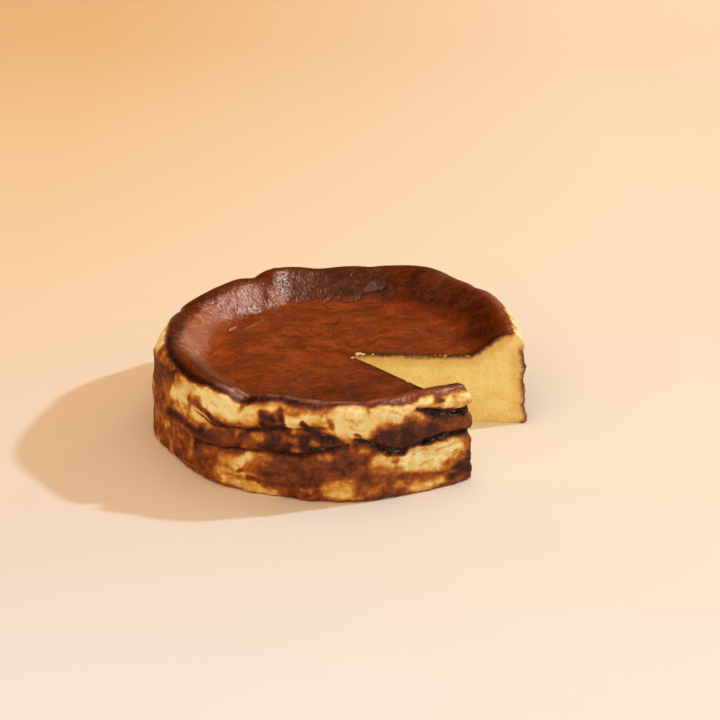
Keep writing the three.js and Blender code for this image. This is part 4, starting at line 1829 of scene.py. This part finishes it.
@dataclass(frozen=True)
class Backdrop:
    """The pale floor, warmer with distance and lighter to the right, both painted light in place of the
    lamps' falloff.

    Its ranges are in metres, away from the camera and to its right. The stops go from near to far.
    """

    stops: Stops = (
        (0.0, (229, 217, 216)),
        (0.11, (229, 211, 198)),
        (0.47, (238, 206, 171)),
        (0.75, (237, 198, 154)),
        (1.0, (232, 185, 133)),
    )
    away: Range = (-0.27, 0.75)
    # A painted pool of light towards the right.
    lit: Colour = (246, 234, 218)
    lit_across: Range = (-0.2, 0.2)
    lit_share: float = 0.55

    def material(self) -> bpy.types.Material:
        """Makes the floor's material."""
        g = Graph("pale_floor")
        place = g.node("SeparateXYZ", {0: g.place(turned=-VIEW_AZIMUTH)}).outputs
        # Painted light: the colour deepens with distance, and a pool of light lies to the right.
        colour = g.ramp(g.spread(place["Y"], self.away), self.stops)
        lit = g.spread(place["X"], self.lit_across, (0.0, self.lit_share))
        colour = g.mix(lit, colour, linear(self.lit))
        return g.finish({"Base Color": colour, "Roughness": 0.9, "Specular IOR Level": 0.1})


def hang(name: str, data: bpy.types.Light, toward: Vector, far: float) -> bpy.types.Object:
    """Hangs a light that faces the cake.

    Args:
        name: The light's name.
        data: Its data.
        toward: The direction from the cake, one metre long.
        far: Its distance in metres.

    Returns:
        The light's object.
    """
    lamp = bpy.data.objects.new(name, data)
    lamp.location = toward * far
    lamp.rotation_mode = "QUATERNION"
    lamp.rotation_quaternion = toward.to_track_quat("Z", "Y")
    bpy.context.scene.collection.objects.link(lamp)
    return lamp


@dataclass(frozen=True)
class Sun:
    """A hard light: its direction as the camera sees it, its power, colour and width in degrees."""

    name: str
    toward: Triple
    power: float
    tint: Colour
    width: float

    def build(self, toward: Vector) -> None:
        """Builds the light, which adds no gloss.

        Args:
            toward: The direction from the cake, one metre long.
        """
        data = bpy.data.lights.new(self.name, "SUN")
        data.energy = self.power
        data.angle = math.radians(self.width)
        data.color = linear(self.tint)[:3]
        hang(self.name, data, toward, 0.0).visible_glossy = False


@dataclass(frozen=True)
class Softbox:
    """A square light: its direction as the camera sees it, its distance, side, watts and colour.

    It lights the cake's matte colour, its gloss, or both.
    """

    name: str
    toward: Triple
    far: float
    side: float
    power: float
    tint: Colour
    matte: bool = True
    gloss: bool = True

    def build(self, toward: Vector) -> None:
        """Builds the light.

        Args:
            toward: The direction from the cake, one metre long.
        """
        data = bpy.data.lights.new(self.name, "AREA")
        data.energy = self.power
        data.size = self.side
        data.color = linear(self.tint)[:3]
        lamp = hang(self.name, data, toward, self.far)
        lamp.visible_diffuse = self.matte
        lamp.visible_glossy = self.gloss


@dataclass
class Studio:
    """The floor, the lights and the camera. Directions are right, away and up as the camera sees them."""

    azimuth: float = VIEW_AZIMUTH
    elevation: float = 25.0
    distance: float = 1.22
    lens: float = 112.7
    sensor: float = 36.0
    aim_right: float = 0.01055
    aim_up: float = 0.0303
    floor_half: float = 3.0
    floor_drop: float = 5e-5
    air: Colour = (255, 210, 136)
    air_strength: float = 0.6
    lights: tuple[Sun | Softbox, ...] = (
        Sun("key", (0.93, 0.27, 0.62), 2.6, (180, 224, 255), 2.6),
        Softbox("sheen", (0.5, 0.4, 0.76), 1.3, 0.5, 3.0, (255, 238, 226), matte=False),
        Softbox("gleam", (0.48, 0.4, 0.78), 1.3, 0.2, 4.8, (255, 242, 234), matte=False),
        Softbox("glimmer", (0.6, 0.06, 0.8), 1.3, 0.2, 4.0, (255, 250, 250), matte=False),
        Softbox("glow", (0.42, 0.87, 0.27), 1.6, 0.25, 2.5, (255, 214, 176)),
        Softbox("sky", (0.1, 0.15, 0.98), 1.6, 1.3, 5.5, (222, 240, 255), gloss=False),
        Softbox("fill", (-0.32, -0.72, 0.75), 1.6, 1.6, 9.6, (255, 238, 222), gloss=False),
        Softbox("glint", (0.3, -0.85, 0.42), 1.2, 0.12, 3.4, (255, 250, 250), matte=False),
        Softbox("flash", (0.83, -0.5, 0.25), 1.2, 0.09, 2.6, (255, 250, 250), matte=False),
        Softbox("spark", (-0.1, -0.5, 0.86), 1.2, 0.35, 7.0, (255, 240, 236), matte=False),
    )

    def axes(self) -> tuple[Vector, Vector]:
        """The level directions to the right and away from the camera."""
        angle = math.radians(self.azimuth)
        across = Vector((math.cos(angle), math.sin(angle), 0.0))
        return across, Vector((-math.sin(angle), math.cos(angle), 0.0))

    def toward(self, right: float, away: float, up: float) -> Vector:
        """A direction given as the camera sees it, one metre long."""
        across, depth = self.axes()
        return (right * across + away * depth + up * Vector((0.0, 0.0, 1.0))).normalized()

    def build(self) -> None:
        """Builds the floor, lights and camera."""
        self._floor()
        self._camera()
        for light in self.lights:
            light.build(self.toward(*light.toward))
        world = bpy.data.worlds.new("studio_air")
        world.use_nodes = True
        air = world.node_tree.nodes["Background"]
        air.inputs["Color"].default_value = linear(self.air)
        air.inputs["Strength"].default_value = self.air_strength
        world.cycles_visibility.glossy = False
        bpy.context.scene.world = world
        bpy.context.scene.view_settings.view_transform = "Standard"

    def _floor(self) -> None:
        """A wide square under the cake, a hair below its underside."""
        half, height = self.floor_half, -self.floor_drop
        mesh = bpy.data.meshes.new("studio_floor")
        corners = [(-half, -half, height), (half, -half, height), (half, half, height), (-half, half, height)]
        mesh.from_pydata(corners, [], [(0, 1, 2, 3)])
        mesh.materials.append(Backdrop().material())
        floor = bpy.data.objects.new("studio_floor", mesh)
        bpy.context.scene.collection.objects.link(floor)

    def _camera(self) -> None:
        """A camera at the photograph's angle, turned so that the cake sits low and left in the frame."""
        rise, angle = math.radians(self.elevation), math.radians(self.azimuth)
        across, _ = self.axes()
        back = Vector((math.sin(angle) * math.cos(rise), -math.cos(angle) * math.cos(rise), math.sin(rise)))
        upward = back.cross(across)
        aim = self.aim_right * across + self.aim_up * upward
        data = bpy.data.cameras.new("camera")
        data.lens = self.lens
        data.sensor_width = self.sensor
        camera = bpy.data.objects.new("camera", data)
        camera.location = back * self.distance
        camera.rotation_mode = "QUATERNION"
        camera.rotation_quaternion = (aim - camera.location).to_track_quat("-Z", "Y")
        bpy.context.scene.collection.objects.link(camera)
        bpy.context.scene.camera = camera


def settle(piece: bpy.types.Object, *materials: bpy.types.Material) -> None:
    """Gives a piece its finishes, sets it on the cake's body and reports it.

    Args:
        piece: The piece.
        materials: Its materials, in the order of its slots.
    """
    for material in materials:
        piece.data.materials.append(material)
    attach(piece, "root")
    LOG.info("%s: %d points, %d faces", piece.name, len(piece.data.vertices), len(piece.data.polygons))


def main() -> None:
    """Builds the cake round the frame, then the studio."""
    logging.basicConfig(level=logging.INFO, format="%(name)s: %(message)s")
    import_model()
    cake = Cheesecake(CakeForm())
    cake.dress(cake.build())
    crumbs = Crumbs(cake.skin)
    crumbs.dress(crumbs.build())
    Studio().build()


if __name__ == "__main__":
    main()
